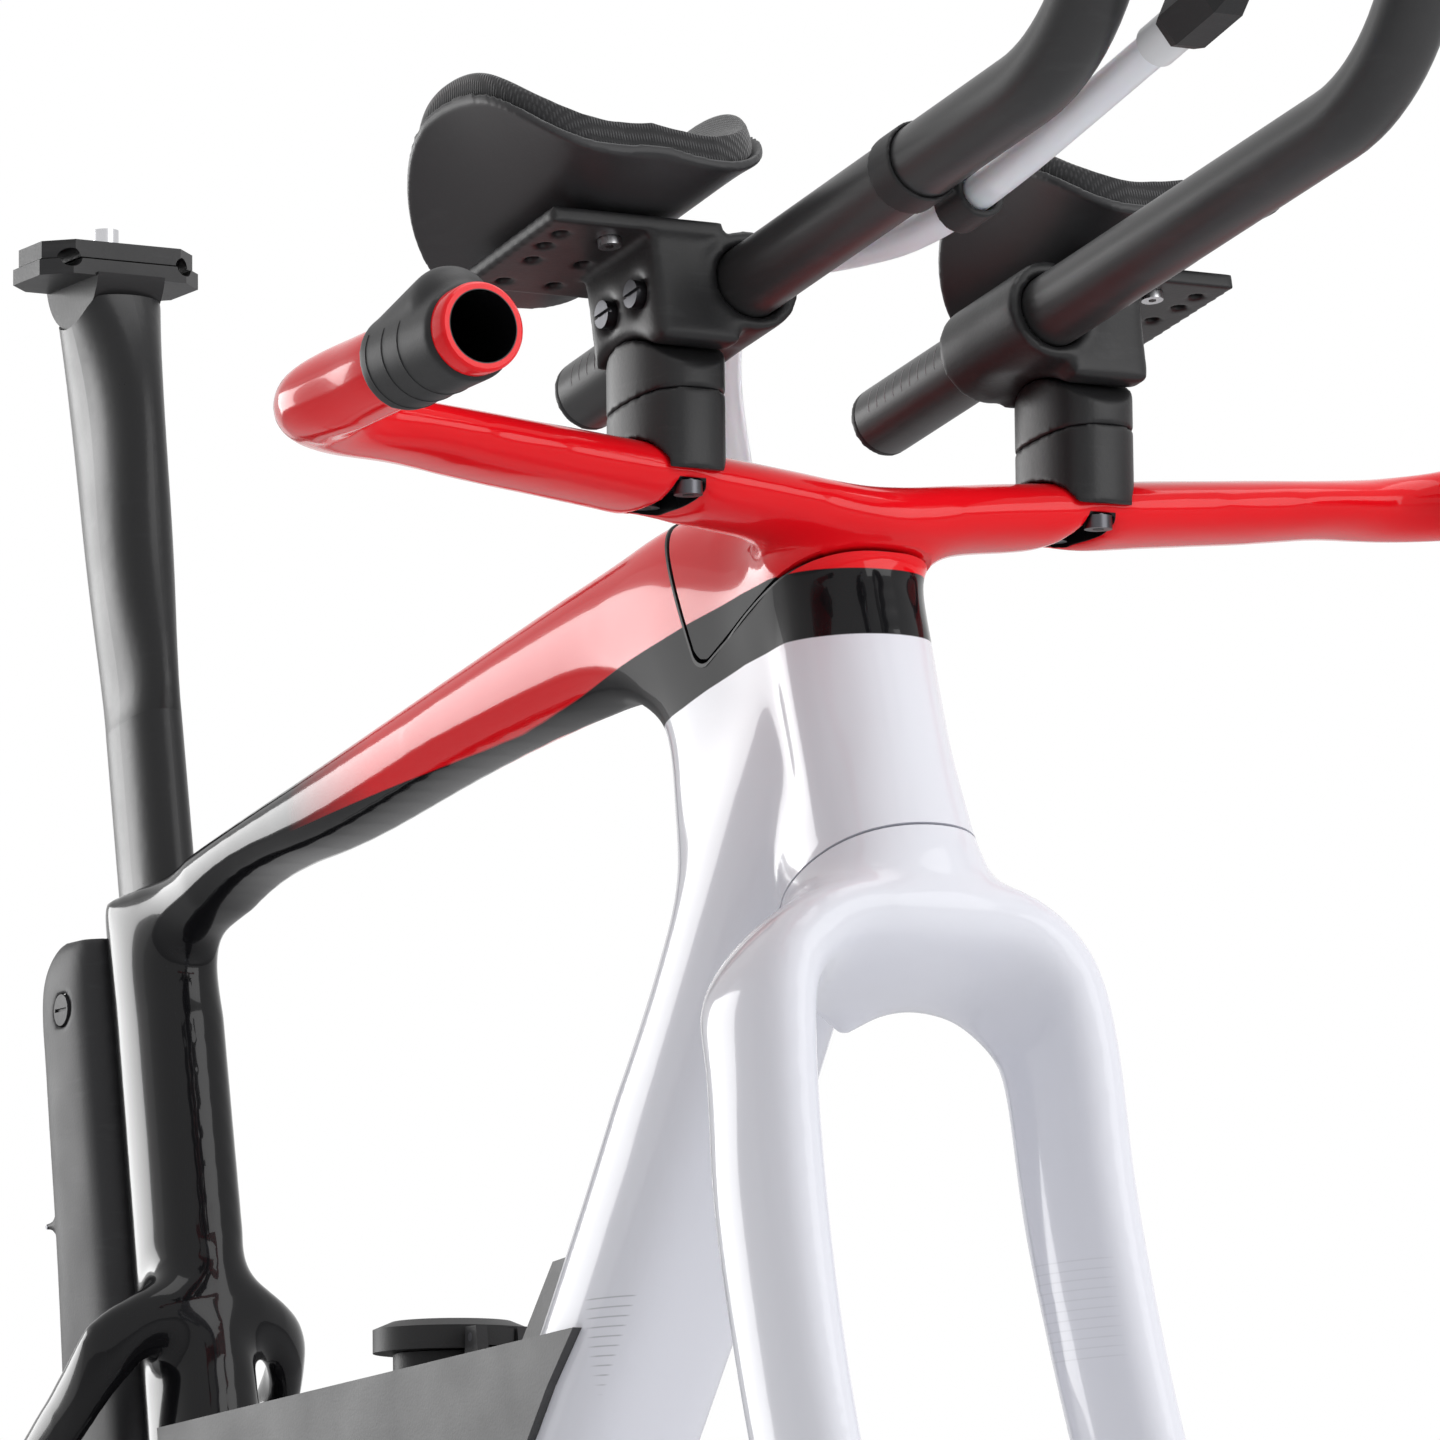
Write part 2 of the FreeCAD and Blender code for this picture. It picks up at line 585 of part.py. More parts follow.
riser_x = head.x + 20
port_base = Vector(head.x - 57, 0, head.z + 25)
bar_cutters = [stem_hole] + horn_holes
bar_cutters.append(rod("port_seat", "Sizes.port_radius", "Sizes.port_height + 30", port_base, Z_AXIS))
bolt_seat = head.z + 23
BOLT_SPOTS = [(f"{side}_{place}",
               Vector(riser_x + step * size("riser_bolt_pitch") / 2, sign * size("riser_side"), bolt_seat))
              for side, sign in SIDES for place, step in (("rear", -1), ("front", 1))]
bolt_holes = []
for spot, point in BOLT_SPOTS:
    bar_cutters.append(rod(f"bolt_recess_{spot}", "Sizes.riser_bolt * 2", "40", point, -Z_AXIS))
    bolt_holes.append(rod(f"bolt_hole_{spot}", "Sizes.riser_bolt + 0.2", "Sizes.tilt_rise - 1",
                          point - Z_AXIS * 2, Z_AXIS))
for side, sign in SIDES:
    slot_middle = sign * size("riser_side")
    half_pitch = size("riser_bolt_pitch") / 2
    slot_outline = [(riser_x - half_pitch, bolt_seat - 40), (riser_x + half_pitch, bolt_seat - 40),
                    (riser_x + half_pitch, bolt_seat), (riser_x - half_pitch, bolt_seat)]
    slot_half = 2 * size("riser_bolt")
    bar_cutters.append(prism(f"bolt_slot_{side}", slot_outline, slot_middle - slot_half,
                             slot_middle + slot_half))
base_bar = node(cut("base_bar", fuse("bar_parts", stem_form, wing), *bar_cutters, *bolt_holes), "base_bar")
node(ring("hose_port", "Sizes.port_radius", "Sizes.port_bore", "Sizes.port_height", port_base, Z_AXIS),
     "hose_port")

# Steerer hardware
plug_low = -10
cap_low = size("steerer_top")
cap_thick = 4
bolt_hole = rod("preload_hole", "3", "80", steered(0, 0, -20), steer_up)
node(cut("expander_plug", rod("expander_body", "Sizes.steerer_bore", "Sizes.steerer_top - 2 + 10",
                              steered(0, 0, plug_low), steer_up), bolt_hole), "expander_plug")
node(cut("top_cap",
         rod("top_cap_body", "Sizes.steerer_radius - 0.2", "4", steered(0, 0, cap_low), steer_up),
         bolt_hole), "top_cap")
node(fuse("preload_bolt", rod("preload_shank", "3", "Sizes.steerer_top + 4", steered(0, 0, 0), steer_up),
          rod("preload_head", "4.5", "3", steered(0, 0, cap_low + cap_thick), steer_up)), "preload_bolt")
node(ring("compression_ring", "Sizes.upper_bearing_inner - Sizes.running_gap", "Sizes.steerer_radius", "10",
          steered(0, 0, bearing_top - 5.5), steer_up), "compression_ring")

# Grip tape on the horns
for side, sign in SIDES:
    tip = Vector(horn_tip.x, sign * horn_tip.y, horn_tip.z) - horn_axis * size("tape_setback")
    sleeve = rod(f"tape_sleeve_{side}", "Sizes.horn_radius + Sizes.tape_thick", "Sizes.tape_length", tip,
                 -horn_axis)
    core = rod(f"tape_core_{side}", "Sizes.horn_bore + 1", "Sizes.tape_length", tip, -horn_axis)
    hump = doc.addObject("Part::Sphere", f"tape_hump_{side}")
    hump.setExpression("Radius", "Sizes.horn_radius")
    hump.Placement = Placement(tip - horn_axis * (size("horn_radius") + 0.5) + Z_AXIS * size("hump_rise"),
                               Rotation(Z_AXIS, ROUND_SEAM))
    node(cut(f"bar_tape_{side}", fuse(f"tape_blank_{side}", sleeve, hump), core, base_bar),
         f"bar_tape_{side}")

# Seatpost with its wedge, and the saddle clamp that tilts on it
saddle = Vector(seated(size("saddle_height")).x, 0, size("saddle_height"))


def cross_rod(name, radius, half_length, centre):
    """Round bar across the bike."""
    return rod(name, radius, f"2 * ({half_length})", centre - Y_AXIS * float(half_length), Y_AXIS)


def post_upper():
    chord = size("post_half_chord")
    wide = size("post_half_width")
    straight_end = 60
    neck = size("saddle_height") - size("seat_tube_top")
    rows = [(straight_end, chord, wide), (0.45 * neck, chord + 2, wide + 0.8),
            (0.65 * neck, chord + 4, wide + 1.7),
            (0.82 * neck, chord + 5, wide + 2.5), (0.90 * neck, chord + 2, wide + 5),
            (0.945 * neck, chord - 1, wide + 7)]
    return loft([oval(seat_point(0, 0, up), seat_fore, Y_AXIS, c, c, w, 2.6) for up, c, w in rows])


post_blank = fuse("post_blank", post_prism("post_lower", 0, -size("post_insert"), 60),
                  feature("post_upper", post_upper()))
nut_drop = 44
cradle_space = cross_rod("cradle_space", "Sizes.cradle_radius + 0.35", "30", saddle)
bolt_slot = prism("bolt_slot",
                  [(saddle.x - 7, saddle.z - nut_drop - 12), (saddle.x + 7, saddle.z - nut_drop - 12),
                                (saddle.x + 7, saddle.z), (saddle.x - 7, saddle.z)], -3.6, 3.6)
nut_slot = prism("nut_slot",
                 [(saddle.x - 10, saddle.z - nut_drop - 7), (saddle.x + 10, saddle.z - nut_drop - 7),
                              (saddle.x + 10, saddle.z - nut_drop + 7),
                  (saddle.x - 10, saddle.z - nut_drop + 7)], -8.6, 8.6)
node(cut("seatpost", post_blank, cradle_space, bolt_slot, nut_slot), "seatpost")

wedge_top = -6
wedge_block = seat_prism("wedge_block",
                         [(wedge_rear - 0.3, -size("wedge_depth")),
                          (wedge_front - 2.5, -size("wedge_depth")),
                                         (wedge_front, wedge_top), (wedge_rear - 0.3, wedge_top)],
                         size("wedge_half_width"))
wedge_middle = (wedge_rear + wedge_front) / 2
wedge_bolt_base = seat_point(wedge_middle, 0, -size("wedge_depth") + 3)
wedge_shank = rod("wedge_shank", "Sizes.wedge_bolt", "Sizes.wedge_depth - 9", wedge_bolt_base, seat_up)
node(cut("seatpost_wedge", wedge_block, wedge_shank), "seatpost_wedge")
node(fuse("wedge_bolt", wedge_shank,
          rod("wedge_head", "Sizes.wedge_bolt + 0.7", "4", seat_point(wedge_middle, 0, wedge_top),
                                         seat_up)), "wedge_bolt")


def clamp_plate(name, low, high, trim):
    """Eight-cornered plate of the saddle clamp."""
    length = size("clamp_half_length") - trim
    width = size("clamp_half_width") - trim
    corner = 9
    outline = [(length, width - corner), (length - corner, width), (corner - length, width),
               (-length, width - corner),
               (-length, corner - width), (corner - length, -width), (length - corner, -width),
               (length, corner - width)]
    points = [saddle + Vector(x, y, low) for x, y in outline]
    face = Part.Face(Part.makePolygon(points + points[:1]))
    return feature(name, face.extrude(Z_AXIS * (high - low)))


rails = [rod(f"rail_{side}", "Sizes.rail_radius", "120",
             saddle + Vector(-60, sign * size("rail_spread") / 2, 0), X_AXIS)
         for side, sign in SIDES]
plate_gap = 0.4
lower_top = -plate_gap
lower_bottom = -6
upper_top = 6.5
clamp_hole = rod("clamp_hole", "Sizes.clamp_bolt", "80", saddle - Z_AXIS * 60, Z_AXIS)
cradle_box = prism("cradle_box", [(saddle.x - 40, saddle.z - 40), (saddle.x + 40, saddle.z - 40),
                                  (saddle.x + 40, saddle.z + lower_bottom + 1),
                                  (saddle.x - 40, saddle.z + lower_bottom + 1)], -13, 13)
cradle = common("cradle", cross_rod("cradle_round", "Sizes.cradle_radius", "13", saddle), cradle_box)
node(cut("saddle_clamp_lower",
         fuse("clamp_lower_blank", clamp_plate("lower_plate", lower_bottom, lower_top, 0), cradle),
         clamp_hole, *rails), "saddle_clamp_lower")
node(cut("saddle_clamp_upper", clamp_plate("upper_plate", plate_gap, upper_top, 1.5), clamp_hole, *rails),
     "saddle_clamp_upper")
nut_centre = saddle - Z_AXIS * nut_drop
nut_hole = cut("saddle_nut", cross_rod("saddle_nut_body", "5", "8", nut_centre), clamp_hole)
node(nut_hole, "saddle_nut")
node(fuse("saddle_bolt", rod("saddle_bolt_shank", "Sizes.clamp_bolt", str(nut_drop + 6 + upper_top),
                            nut_centre - Z_AXIS * 6, Z_AXIS),
          rod("saddle_bolt_head", "Sizes.clamp_bolt + 1.6", "8", saddle + Z_AXIS * upper_top, Z_AXIS)),
     "saddle_bolt")

# Storage box behind the seat tube with its hinged door and quarter-turn latch

REAR_BOX = [  # height, rear face, share of the full width
    (236, -103, 0.94), (300, -115, 1), (362, -121, 1), (410, -127.5, 1), (436, -131, 1), (450, -130, 0.97),
            (462, -117, 0.85),
]


def rear_box_form(shift, inset, front_inset, low, high):
    """Loft of the box's outline; the rear face may be shifted and all walls drawn in."""
    outlines = []
    for height, rear, share in REAR_BOX:
        level = min(max(height, low), high)
        front = seated(level).x - 21.4 - front_inset
        back = rear - shift + inset
        middle = Vector((front + back) / 2, 0, level)
        half = (front - back) / 2
        outlines.append(oval(middle, X_AXIS, Y_AXIS, half, half,
                             size("rear_box_half_width") * share - inset, 4))
    return loft(outlines)


def rear_face(height):
    """X of the rear box's rear face."""
    for (low, x_low, _), (high, x_high, _) in zip(REAR_BOX, REAR_BOX[1:]):
        if low <= height <= high:
            return x_low + (x_high - x_low) * (height - low) / (high - low)
    raise ValueError(height)


def door_window(name, gap):
    """Cutter for the door's opening, or its blank when the gap is negative."""
    half = size("door_half_width") + gap
    low = size("door_low") + (-2 if gap > 0 else 0)
    high = size("door_high") + gap
    outline = [(-160, low), (rear_face(low) + 5, low), (rear_face(high) + 5, high), (-160, high)]
    return prism(name, outline, -half, half)


door_gap = 0.4
box_low = REAR_BOX[0][0]
box_high = REAR_BOX[-1][0]
box_outer = feature("rear_box_outer", rear_box_form(0, 0, 0, box_low, box_high))
box_hollow = feature("rear_box_hollow",
                     rear_box_form(0, size("rear_box_wall"), 5, box_low + 8, box_high - 7))
door_outer = feature("door_outer", rear_box_form(size("door_raise"), 0, 0, box_low, box_high))
hinge = Vector(rear_face(size("door_low")) - size("door_raise"), 0, size("door_low"))
hinge_pin = cross_rod("hinge_pin_body", "0.8", "18", hinge)
hinge_barrel = cross_rod("hinge_barrel", "1.6", "12.6", hinge)
lug_outline = [(hinge.x - 1.8, hinge.z - 1.8), (hinge.x + 7, hinge.z - 1.8), (hinge.x + 7, hinge.z + 1.8),
               (hinge.x - 1.8, hinge.z + 1.8)]
hinge_lugs = [prism(f"hinge_lug_{side}", lug_outline, sign * 15, sign * 18) for side, sign in SIDES]
latch_centre = Vector(-106, -size("rear_box_half_width"), 438)
latch_hole = rod("latch_hole", "Sizes.latch_radius + 0.3", "10", latch_centre - Y_AXIS * 4, Y_AXIS)
barrel_room = cross_rod("barrel_room", "2", "13", hinge)
shell = cut("rear_box_walls", box_outer, box_hollow, door_window("door_opening", door_gap), main_frame,
            barrel_room)
node(cut("rear_box_shell", fuse("rear_box_lugs", shell, *hinge_lugs), hinge_pin, latch_hole),
     "rear_box_shell")
node(hinge_pin, "door_hinge_pin")
door_plate = cut("door_plate", common("door_blank", door_outer, door_window("door_window", -door_gap)),
                 box_hollow)
node(cut("rear_box_door", fuse("door_parts", door_plate, hinge_barrel),
         cross_rod("hinge_bore", "1.1", "20", hinge)), "rear_box_door")
latch_disc = rod("latch_disc", "Sizes.latch_radius", "Sizes.rear_box_wall + 3.1",
                 latch_centre - Y_AXIS * 1.2, Y_AXIS)
flange_start = size("rear_box_wall") + 1.5
latch_flange = rod("latch_flange", "Sizes.latch_radius + 1.8", "1.6",
                   latch_centre + Y_AXIS * (flange_start - 0.2), Y_AXIS)
cam_reach = 17
cam_half = 2.5
slot_half = 0.6
latch_cam = prism("latch_cam",
                  [(latch_centre.x - cam_reach, latch_centre.z - cam_half),
                   (latch_centre.x, latch_centre.z - cam_half),
                                (latch_centre.x, latch_centre.z + cam_half),
                   (latch_centre.x - cam_reach, latch_centre.z + cam_half)],
                  latch_centre.y + flange_start + 0.2, latch_centre.y + flange_start + 2.2)
slot_reach = size("latch_radius") - 1
latch_slot = prism("latch_slot",
                   [(latch_centre.x - slot_reach, latch_centre.z - slot_half),
                    (latch_centre.x + slot_reach, latch_centre.z - slot_half),
                                  (latch_centre.x + slot_reach, latch_centre.z + slot_half),
                    (latch_centre.x - slot_reach, latch_centre.z + slot_half)],
                   latch_centre.y - 2, latch_centre.y - 0.4)
node(cut("box_latch", fuse("latch_parts", latch_disc, latch_flange, latch_cam), latch_slot), "box_latch")

# Storage and drink box in the main triangle

BOX_OUTLINE = [(-14, 287), (279, 301), (262, 284), (150, 150), (72, 64), (26, 64)]
BOX_TAB = [(222, 297), (250, 298), (268, 326), (246, 324)]
COVER_OUTLINE = [(13, 283), (198, 291.8), (186, 257), (98, 158), (36, 150)]
HOLLOW_OUTLINE = [(20, 278), (188, 286), (178, 259), (95, 166), (43, 160)]
half_box = size("frame_box_half_width")
ledge = half_box - size("cover_thick")
neck_base = Vector(146, 0, 282)
neck_room = rod("neck_room", "Sizes.neck_radius", "40", neck_base, Z_AXIS)
box_body = fuse("frame_box_body", prism("frame_box_blank", BOX_OUTLINE, -half_box, half_box),
                prism("box_tab", BOX_TAB, -17, 17))
windows = [prism(f"cover_window_{side}", COVER_OUTLINE, sign * ledge, sign * (half_box + 2)) for side,
           sign in SIDES]
box_hollow_cut = prism("frame_box_hollow", HOLLOW_OUTLINE, -ledge, ledge)
frame_box = node(cut("frame_box", box_body, main_frame, box_hollow_cut, *windows, neck_room), "frame_box")
for side, sign in SIDES:
    node(prism(f"box_cover_{side}", COVER_OUTLINE, sign * ledge, sign * half_box), f"box_cover_{side}")

neck_top = 302
cap_base = Vector(neck_base.x, 0, neck_top + 0.4)
cap_hinge = cap_base + Vector(size("cap_radius") + 5, 0, 3)
neck_ring = ring("neck_ring", "Sizes.neck_radius", "Sizes.neck_radius - Sizes.neck_wall", "20", neck_base,
                 Z_AXIS)
ears = [prism(f"cap_ear_{side}",
              [(cap_hinge.x - 4, 295.4), (cap_hinge.x + 6, 295.9), (cap_hinge.x + 4, cap_hinge.z + 3.5),
                                  (cap_hinge.x - 3, cap_hinge.z + 3.5)], sign * 5.5, sign * 9.5) for side,
        sign in SIDES]
ear_bridge = prism("ear_bridge",
                   [(neck_base.x + 16.5, 295), (cap_hinge.x + 6, 296), (cap_hinge.x + 6, 299),
                    (neck_base.x + 16.5, 299)],
                   -9.5, 9.5)
cap_pin = cross_rod("cap_pin_body", "1.4", "9.5", cap_hinge)
neck_bore = rod("neck_bore", "Sizes.neck_radius - Sizes.neck_wall", "20", neck_base, Z_AXIS)
node(cut("fill_neck", fuse("neck_parts", neck_ring, ear_bridge, *ears), cap_pin, neck_bore, frame_box),
     "fill_neck")
node(cap_pin, "cap_hinge_pin")
cap_disc = rod("cap_disc", "Sizes.cap_radius", "Sizes.cap_height - 2.5", cap_base, Z_AXIS)
cap_crown = doc.addObject("Part::Cone", "cap_crown")
cap_crown.setExpression("Radius1", "Sizes.cap_radius")
cap_crown.setExpression("Radius2", "Sizes.cap_radius - 6")
cap_crown.Height = 2.5
cap_crown.Placement = Placement(cap_base + Z_AXIS * (size("cap_height") - 2.5),
                                Rotation(Z_AXIS, ROUND_SEAM))
cap_lug = prism("cap_lug",
                [(cap_base.x + 20, cap_base.z + 0.4), (cap_hinge.x + 3, cap_base.z + 0.4),
                 (cap_hinge.x + 3, cap_hinge.z + 3),
                            (cap_base.x + 20, cap_hinge.z + 3)], -5, 5)
cap_tab = prism("cap_tab",
                [(cap_base.x - 34, cap_base.z + 1), (cap_base.x - 22, cap_base.z + 1),
                 (cap_base.x - 22, cap_base.z + 3.5),
                            (cap_base.x - 34, cap_base.z + 3.5)], -7, 7)
cap_pin_bore = cross_rod("cap_pin_bore", "1.7", "12", cap_hinge)
tab_hole = rod("tab_hole", "2.6", "12", cap_base + Vector(-29.5, 0, -4), Z_AXIS)
node(cut("fill_cap", fuse("cap_parts", cap_disc, cap_crown, cap_lug, cap_tab), cap_pin_bore, tab_hole),
     "fill_cap")

# Armrest risers, split where the rider adds spacers
tilt_axis = head + Vector(riser_x - head.x, 0, size("tilt_rise"))
split_level = tilt_axis.z + size("riser_split")
riser_room = size("tilt_rise") + 2 * size("tilt_radius")
split_slope = math.tan(math.radians(7))


def split_side(name, sign, low, high):
    """Room of one riser piece between two slanted levels."""
    reach = 40
    outline = [(riser_x - reach, low - reach * split_slope), (riser_x + reach, low + reach * split_slope),
               (riser_x + reach, high + reach * split_slope), (riser_x - reach, high - reach * split_slope)]
    middle = sign * size("riser_side")
    return prism(name, outline, middle - 20, middle + 20)


shanks = []
for spot, point in BOLT_SPOTS:
    shanks.append(fuse(f"riser_bolt_{spot}",
                       rod(f"riser_shank_{spot}", "Sizes.riser_bolt", "Sizes.tilt_rise - 5", point, Z_AXIS),
                       rod(f"riser_head_{spot}", "Sizes.riser_bolt * 1.8", "4", point, -Z_AXIS)))
bolts = doc.addObject("Part::Compound", "riser_bolts")
bolts.Links = shanks
node(bolts, "riser_bolts")
for side, sign in SIDES:
    own_holes = [hole for (spot, _), hole in zip(BOLT_SPOTS, bolt_holes) if spot.startswith(side)]
    foot = Vector(riser_x, sign * size("riser_side"), size("stack") + 26)
    outline = oval(foot, X_AXIS, Y_AXIS, size("riser_half_chord"), size("riser_half_chord"),
                   size("riser_half_width"), 2.8)
    column = feature(f"riser_column_{side}", Part.Face(outline).extrude(Z_AXIS * riser_room))
    lower_room = split_side(f"riser_low_room_{side}", sign, split_level - riser_room, split_level)
    upper_room = split_side(f"riser_high_room_{side}", sign, split_level, split_level + riser_room)
    barrel = cross_rod(f"tilt_barrel_{side}", "Sizes.tilt_radius", "30",
                       tilt_axis + Y_AXIS * (sign * size("riser_side")))
    node(cut(f"riser_lower_{side}", common(f"riser_low_blank_{side}", column, lower_room), base_bar,
             *own_holes), f"riser_lower_{side}")
    tall = common(f"riser_high_blank_{side}", column, upper_room)
    node(cut(f"riser_upper_{side}", common(f"riser_round_{side}", tall, barrel), *own_holes),
         f"riser_upper_{side}")

# Armrests: clamp casting, cup, pad and screws, in a frame that leans with the extension
arm_lean = math.radians(size("arm_angle"))
arm_fore = Vector(math.cos(arm_lean), 0, math.sin(arm_lean))
arm_up = Vector(-math.sin(arm_lean), 0, math.cos(arm_lean))
arm_origin = tilt_axis + Vector(-1, 0, size("arm_rise"))


def arm_point(sign, along, out, up):
    """Point given from the middle of an extension clamp: forward, outward and up."""
    return arm_origin + arm_fore * along + Y_AXIS * (sign * (size("arm_side") + out)) + arm_up * up


def arm_block(name, sign, along, out, up):
    """Block between pairs of limits in the armrest's frame."""
    corners = [(along[0], up[0]), (along[1], up[0]), (along[1], up[1]), (along[0], up[1])]
    points = [arm_point(sign, a, out[0], u) for a, u in corners]
    face = Part.Face(Part.makePolygon(points + points[:1]))
    return feature(name, face.extrude(Y_AXIS * (sign * (out[1] - out[0]))))


def arm_rod(name, radius, length, sign, along, out, up, axis):
    return rod(name, radius, length, arm_point(sign, along, out, up), axis)


CUP_ROWS = [(-1, 0.80), (-0.6, 0.96), (-0.2, 1.0), (0.2, 1.0), (0.6, 0.99), (1, 0.92)]
CUP_POINTS = 9


def cup_level(across, forward):
    """Height of the cup's underside: flat in the middle, an arched wing on either side, a flare in front."""
    height, rise = (37, 2.3) if across > 0 else (32, 3.2)
    wing = height * abs(across) ** rise * (1 - 0.45 * forward ** 2)
    flare = 11 * max(forward, 0) ** 2.5 * (1 - abs(across))
    return wing + flare


def trough(sign, low, high, trim):
    """Curved sheet that follows the cup; low and high give its two sides over the cup's underside."""
    base = size("plate_thick") + size("extension_radius") + 1.3
    outlines = []
    for forward, share in CUP_ROWS:
        along = (size("cup_half_length") - trim) * forward - size("cup_back")
        sides = []
        for lift in (low, high):
            poles = []
            for k in range(CUP_POINTS):
                across = 2 * k / (CUP_POINTS - 1) - 1
                out = size("cup_centre") + (size("cup_half_width") - trim) * share * across
                poles.append(arm_point(sign, along, out,
                                       base + cup_level(across * share, forward) + lift(across, forward)))
            curve = Part.BSplineCurve()
            curve.buildFromPoles(poles, False, 3)
            sides.append((curve, poles))
        (under, p_low), (over, p_high) = sides
        outlines.append(Part.Wire([under.toShape(), Part.makeLine(p_low[-1], p_high[-1]), over.toShape(),
                                   Part.makeLine(p_high[0], p_low[0])]))
    return loft(outlines)


def pad_crown(across, forward):
    """Pad's thickness: full in the middle and drawn in at the rim."""
    return size("cup_thick") + size("pad_thick") * (1 - 0.5 * abs(across) ** 4) * (1 - 0.4 * abs(forward) ** 4)


SCREW_SPOTS = [(-28, 22), (12, 42), (-28, 56), (12, 58)]
PLATE_SPOTS = SCREW_SPOTS + [(-28, 39), (-10, 39), (-10, 56), (2, 58)]
NUT_SPOTS = [-9, 9]
plate_low = size("extension_radius") + 1.3
clamp_outer = "Sizes.extension_radius + Sizes.extension_gap + Sizes.clamp_wall"
clamp_start = -size("clamp_length") / 2
for side, sign in SIDES:
    collar = arm_rod(f"collar_{side}", clamp_outer, "Sizes.clamp_length", sign, clamp_start, 0, 0, arm_fore)
    collar_bore = arm_rod(f"collar_bore_{side}", "Sizes.extension_radius + Sizes.extension_gap",
                          "Sizes.clamp_length + 60",
                          sign, clamp_start - 30, 0, 0, arm_fore)
    tower = arm_block(f"tower_{side}", sign, (-21, 21), (5, 33), (-20, plate_low + 2))
    plate = arm_block(f"plate_{side}", sign, (-36, 22), (8, 66),
                      (plate_low, plate_low + size("plate_thick")))
    saddle_room = cross_rod(f"saddle_room_{side}", "Sizes.tilt_radius + Sizes.tilt_gap", "40",
                            tilt_axis + Y_AXIS * (sign * size("riser_side")))
    plate_holes = [arm_rod(f"plate_hole_{side}_{k}", "2.2", "12", sign, along, out, plate_low - 3, arm_up)
                   for k, (along, out) in enumerate(PLATE_SPOTS)]
    nuts = []
    nut_rooms = []
    for k, along in enumerate(NUT_SPOTS):
        body = arm_rod(f"nut_body_{side}_{k}", "4.2", "7", sign, along, 28, -3, Y_AXIS * sign)
        slot = arm_block(f"nut_slot_{side}_{k}", sign, (along - 5, along + 5), (33.8, 36), (-3.6, -2.4))
        nuts.append(cut(f"clamp_nut_{side}_{k}", body, slot))
        nut_rooms.append(body)
    bracket = fuse(f"bracket_blank_{side}", tower, plate, collar)
    node(cut(f"armrest_bracket_{side}", bracket, collar_bore, saddle_room, *nut_rooms, *plate_holes),
         f"armrest_bracket_{side}")
    nut_group = doc.addObject("Part::Compound", f"clamp_nuts_{side}")
    nut_group.Links = nuts
    node(nut_group, f"clamp_nuts_{side}")
    screws = []
    for k, (along, out) in enumerate(SCREW_SPOTS[:2]):
        shank = arm_rod(f"screw_shank_{side}_{k}", "1.9", "Sizes.plate_thick + 2", sign, along, out,
                        plate_low, arm_up)
        cap = arm_rod(f"screw_head_{side}_{k}", "3.4", "2.4", sign, along, out, plate_low, -arm_up)
        screws.append(fuse(f"cup_screw_{side}_{k}", shank, cap))
    screw_group = doc.addObject("Part::Compound", f"cup_screws_{side}")
    screw_group.Links = screws
    node(screw_group, f"cup_screws_{side}")
    cup_form = feature(f"cup_form_{side}", trough(sign, lambda a, f: 0, lambda a, f: size("cup_thick"), 0))
    node(cut(f"armrest_cup_{side}", cup_form, *screws), f"armrest_cup_{side}")
    node(feature(f"armrest_pad_{side}", trough(sign, lambda a, f: size("cup_thick") + 0.02, pad_crown, 4)),
         f"armrest_pad_{side}")

# Extensions: straight, one bend and a grip, with an end plug

def bent_tube(sign):
    start = arm_point(sign, -size("extension_rear"), 0, 0)
    bend = start + arm_fore * size("extension_straight")
    radius = size("bend_radius")
    angle = math.radians(size("bend_angle"))
    centre = bend + arm_up * radius

    def on_bend(turn):
        return centre + arm_fore * (radius * math.sin(turn)) - arm_up * (radius * math.cos(turn))

    end = on_bend(angle)
    grip_axis = arm_fore * math.cos(angle) + arm_up * math.sin(angle)
    tip = end + grip_axis * size("grip_length")
    path = Part.Wire([Part.makeLine(start, bend), Part.Arc(bend, on_bend(angle / 2), end).toShape(),
                      Part.makeLine(end, tip)])
    circle = Part.Wire(Part.Circle(start, arm_fore, size("extension_radius")).toShape())
    return path.makePipeShell([circle], True, True), start, tip, grip_axis


for side, sign in SIDES:
    tube, rear_end, grip_tip, grip_axis = bent_tube(sign)
    rear_bore = rod(f"extension_rear_bore_{side}", "Sizes.extension_bore", "14", rear_end, arm_fore)
    front_bore = rod(f"extension_front_bore_{side}", "Sizes.extension_bore", "60", grip_tip, -grip_axis)
    node(cut(f"extension_{side}", feature(f"extension_form_{side}", tube), rear_bore, front_bore),
         f"extension_{side}")
    node(fuse(f"extension_plug_{side}", rear_bore,
              rod(f"plug_head_{side}", "Sizes.extension_radius", "3", rear_end - arm_fore * 3,
                                                      arm_fore)), f"extension_plug_{side}")

# Drink hose from the stem to the right extension

HOSE_AT_STEM = [(-57, 0, 29), (-62.5, -1, 51), (-63, -4, 74.6)]
HOSE_AT_ARM = [(-72.4, 44.4, 11.4), (-55.6, 39.4, 21), (-36.4, 35.4, 21.5), (-7, 29.4, 17.5),
               (36, 22.4, 11),
               (91, 17.4, 7), (141, 17.4, 17), (185, 17.4, 28.5), (217, 17.4, 37)]
arm_middle = arm_origin - Y_AXIS * size("arm_side")
hose_points = [head + Vector(*offset) for offset in HOSE_AT_STEM]
hose_points += [arm_middle + Vector(*offset) for offset in HOSE_AT_ARM]
HOSE_BEND = 0.45


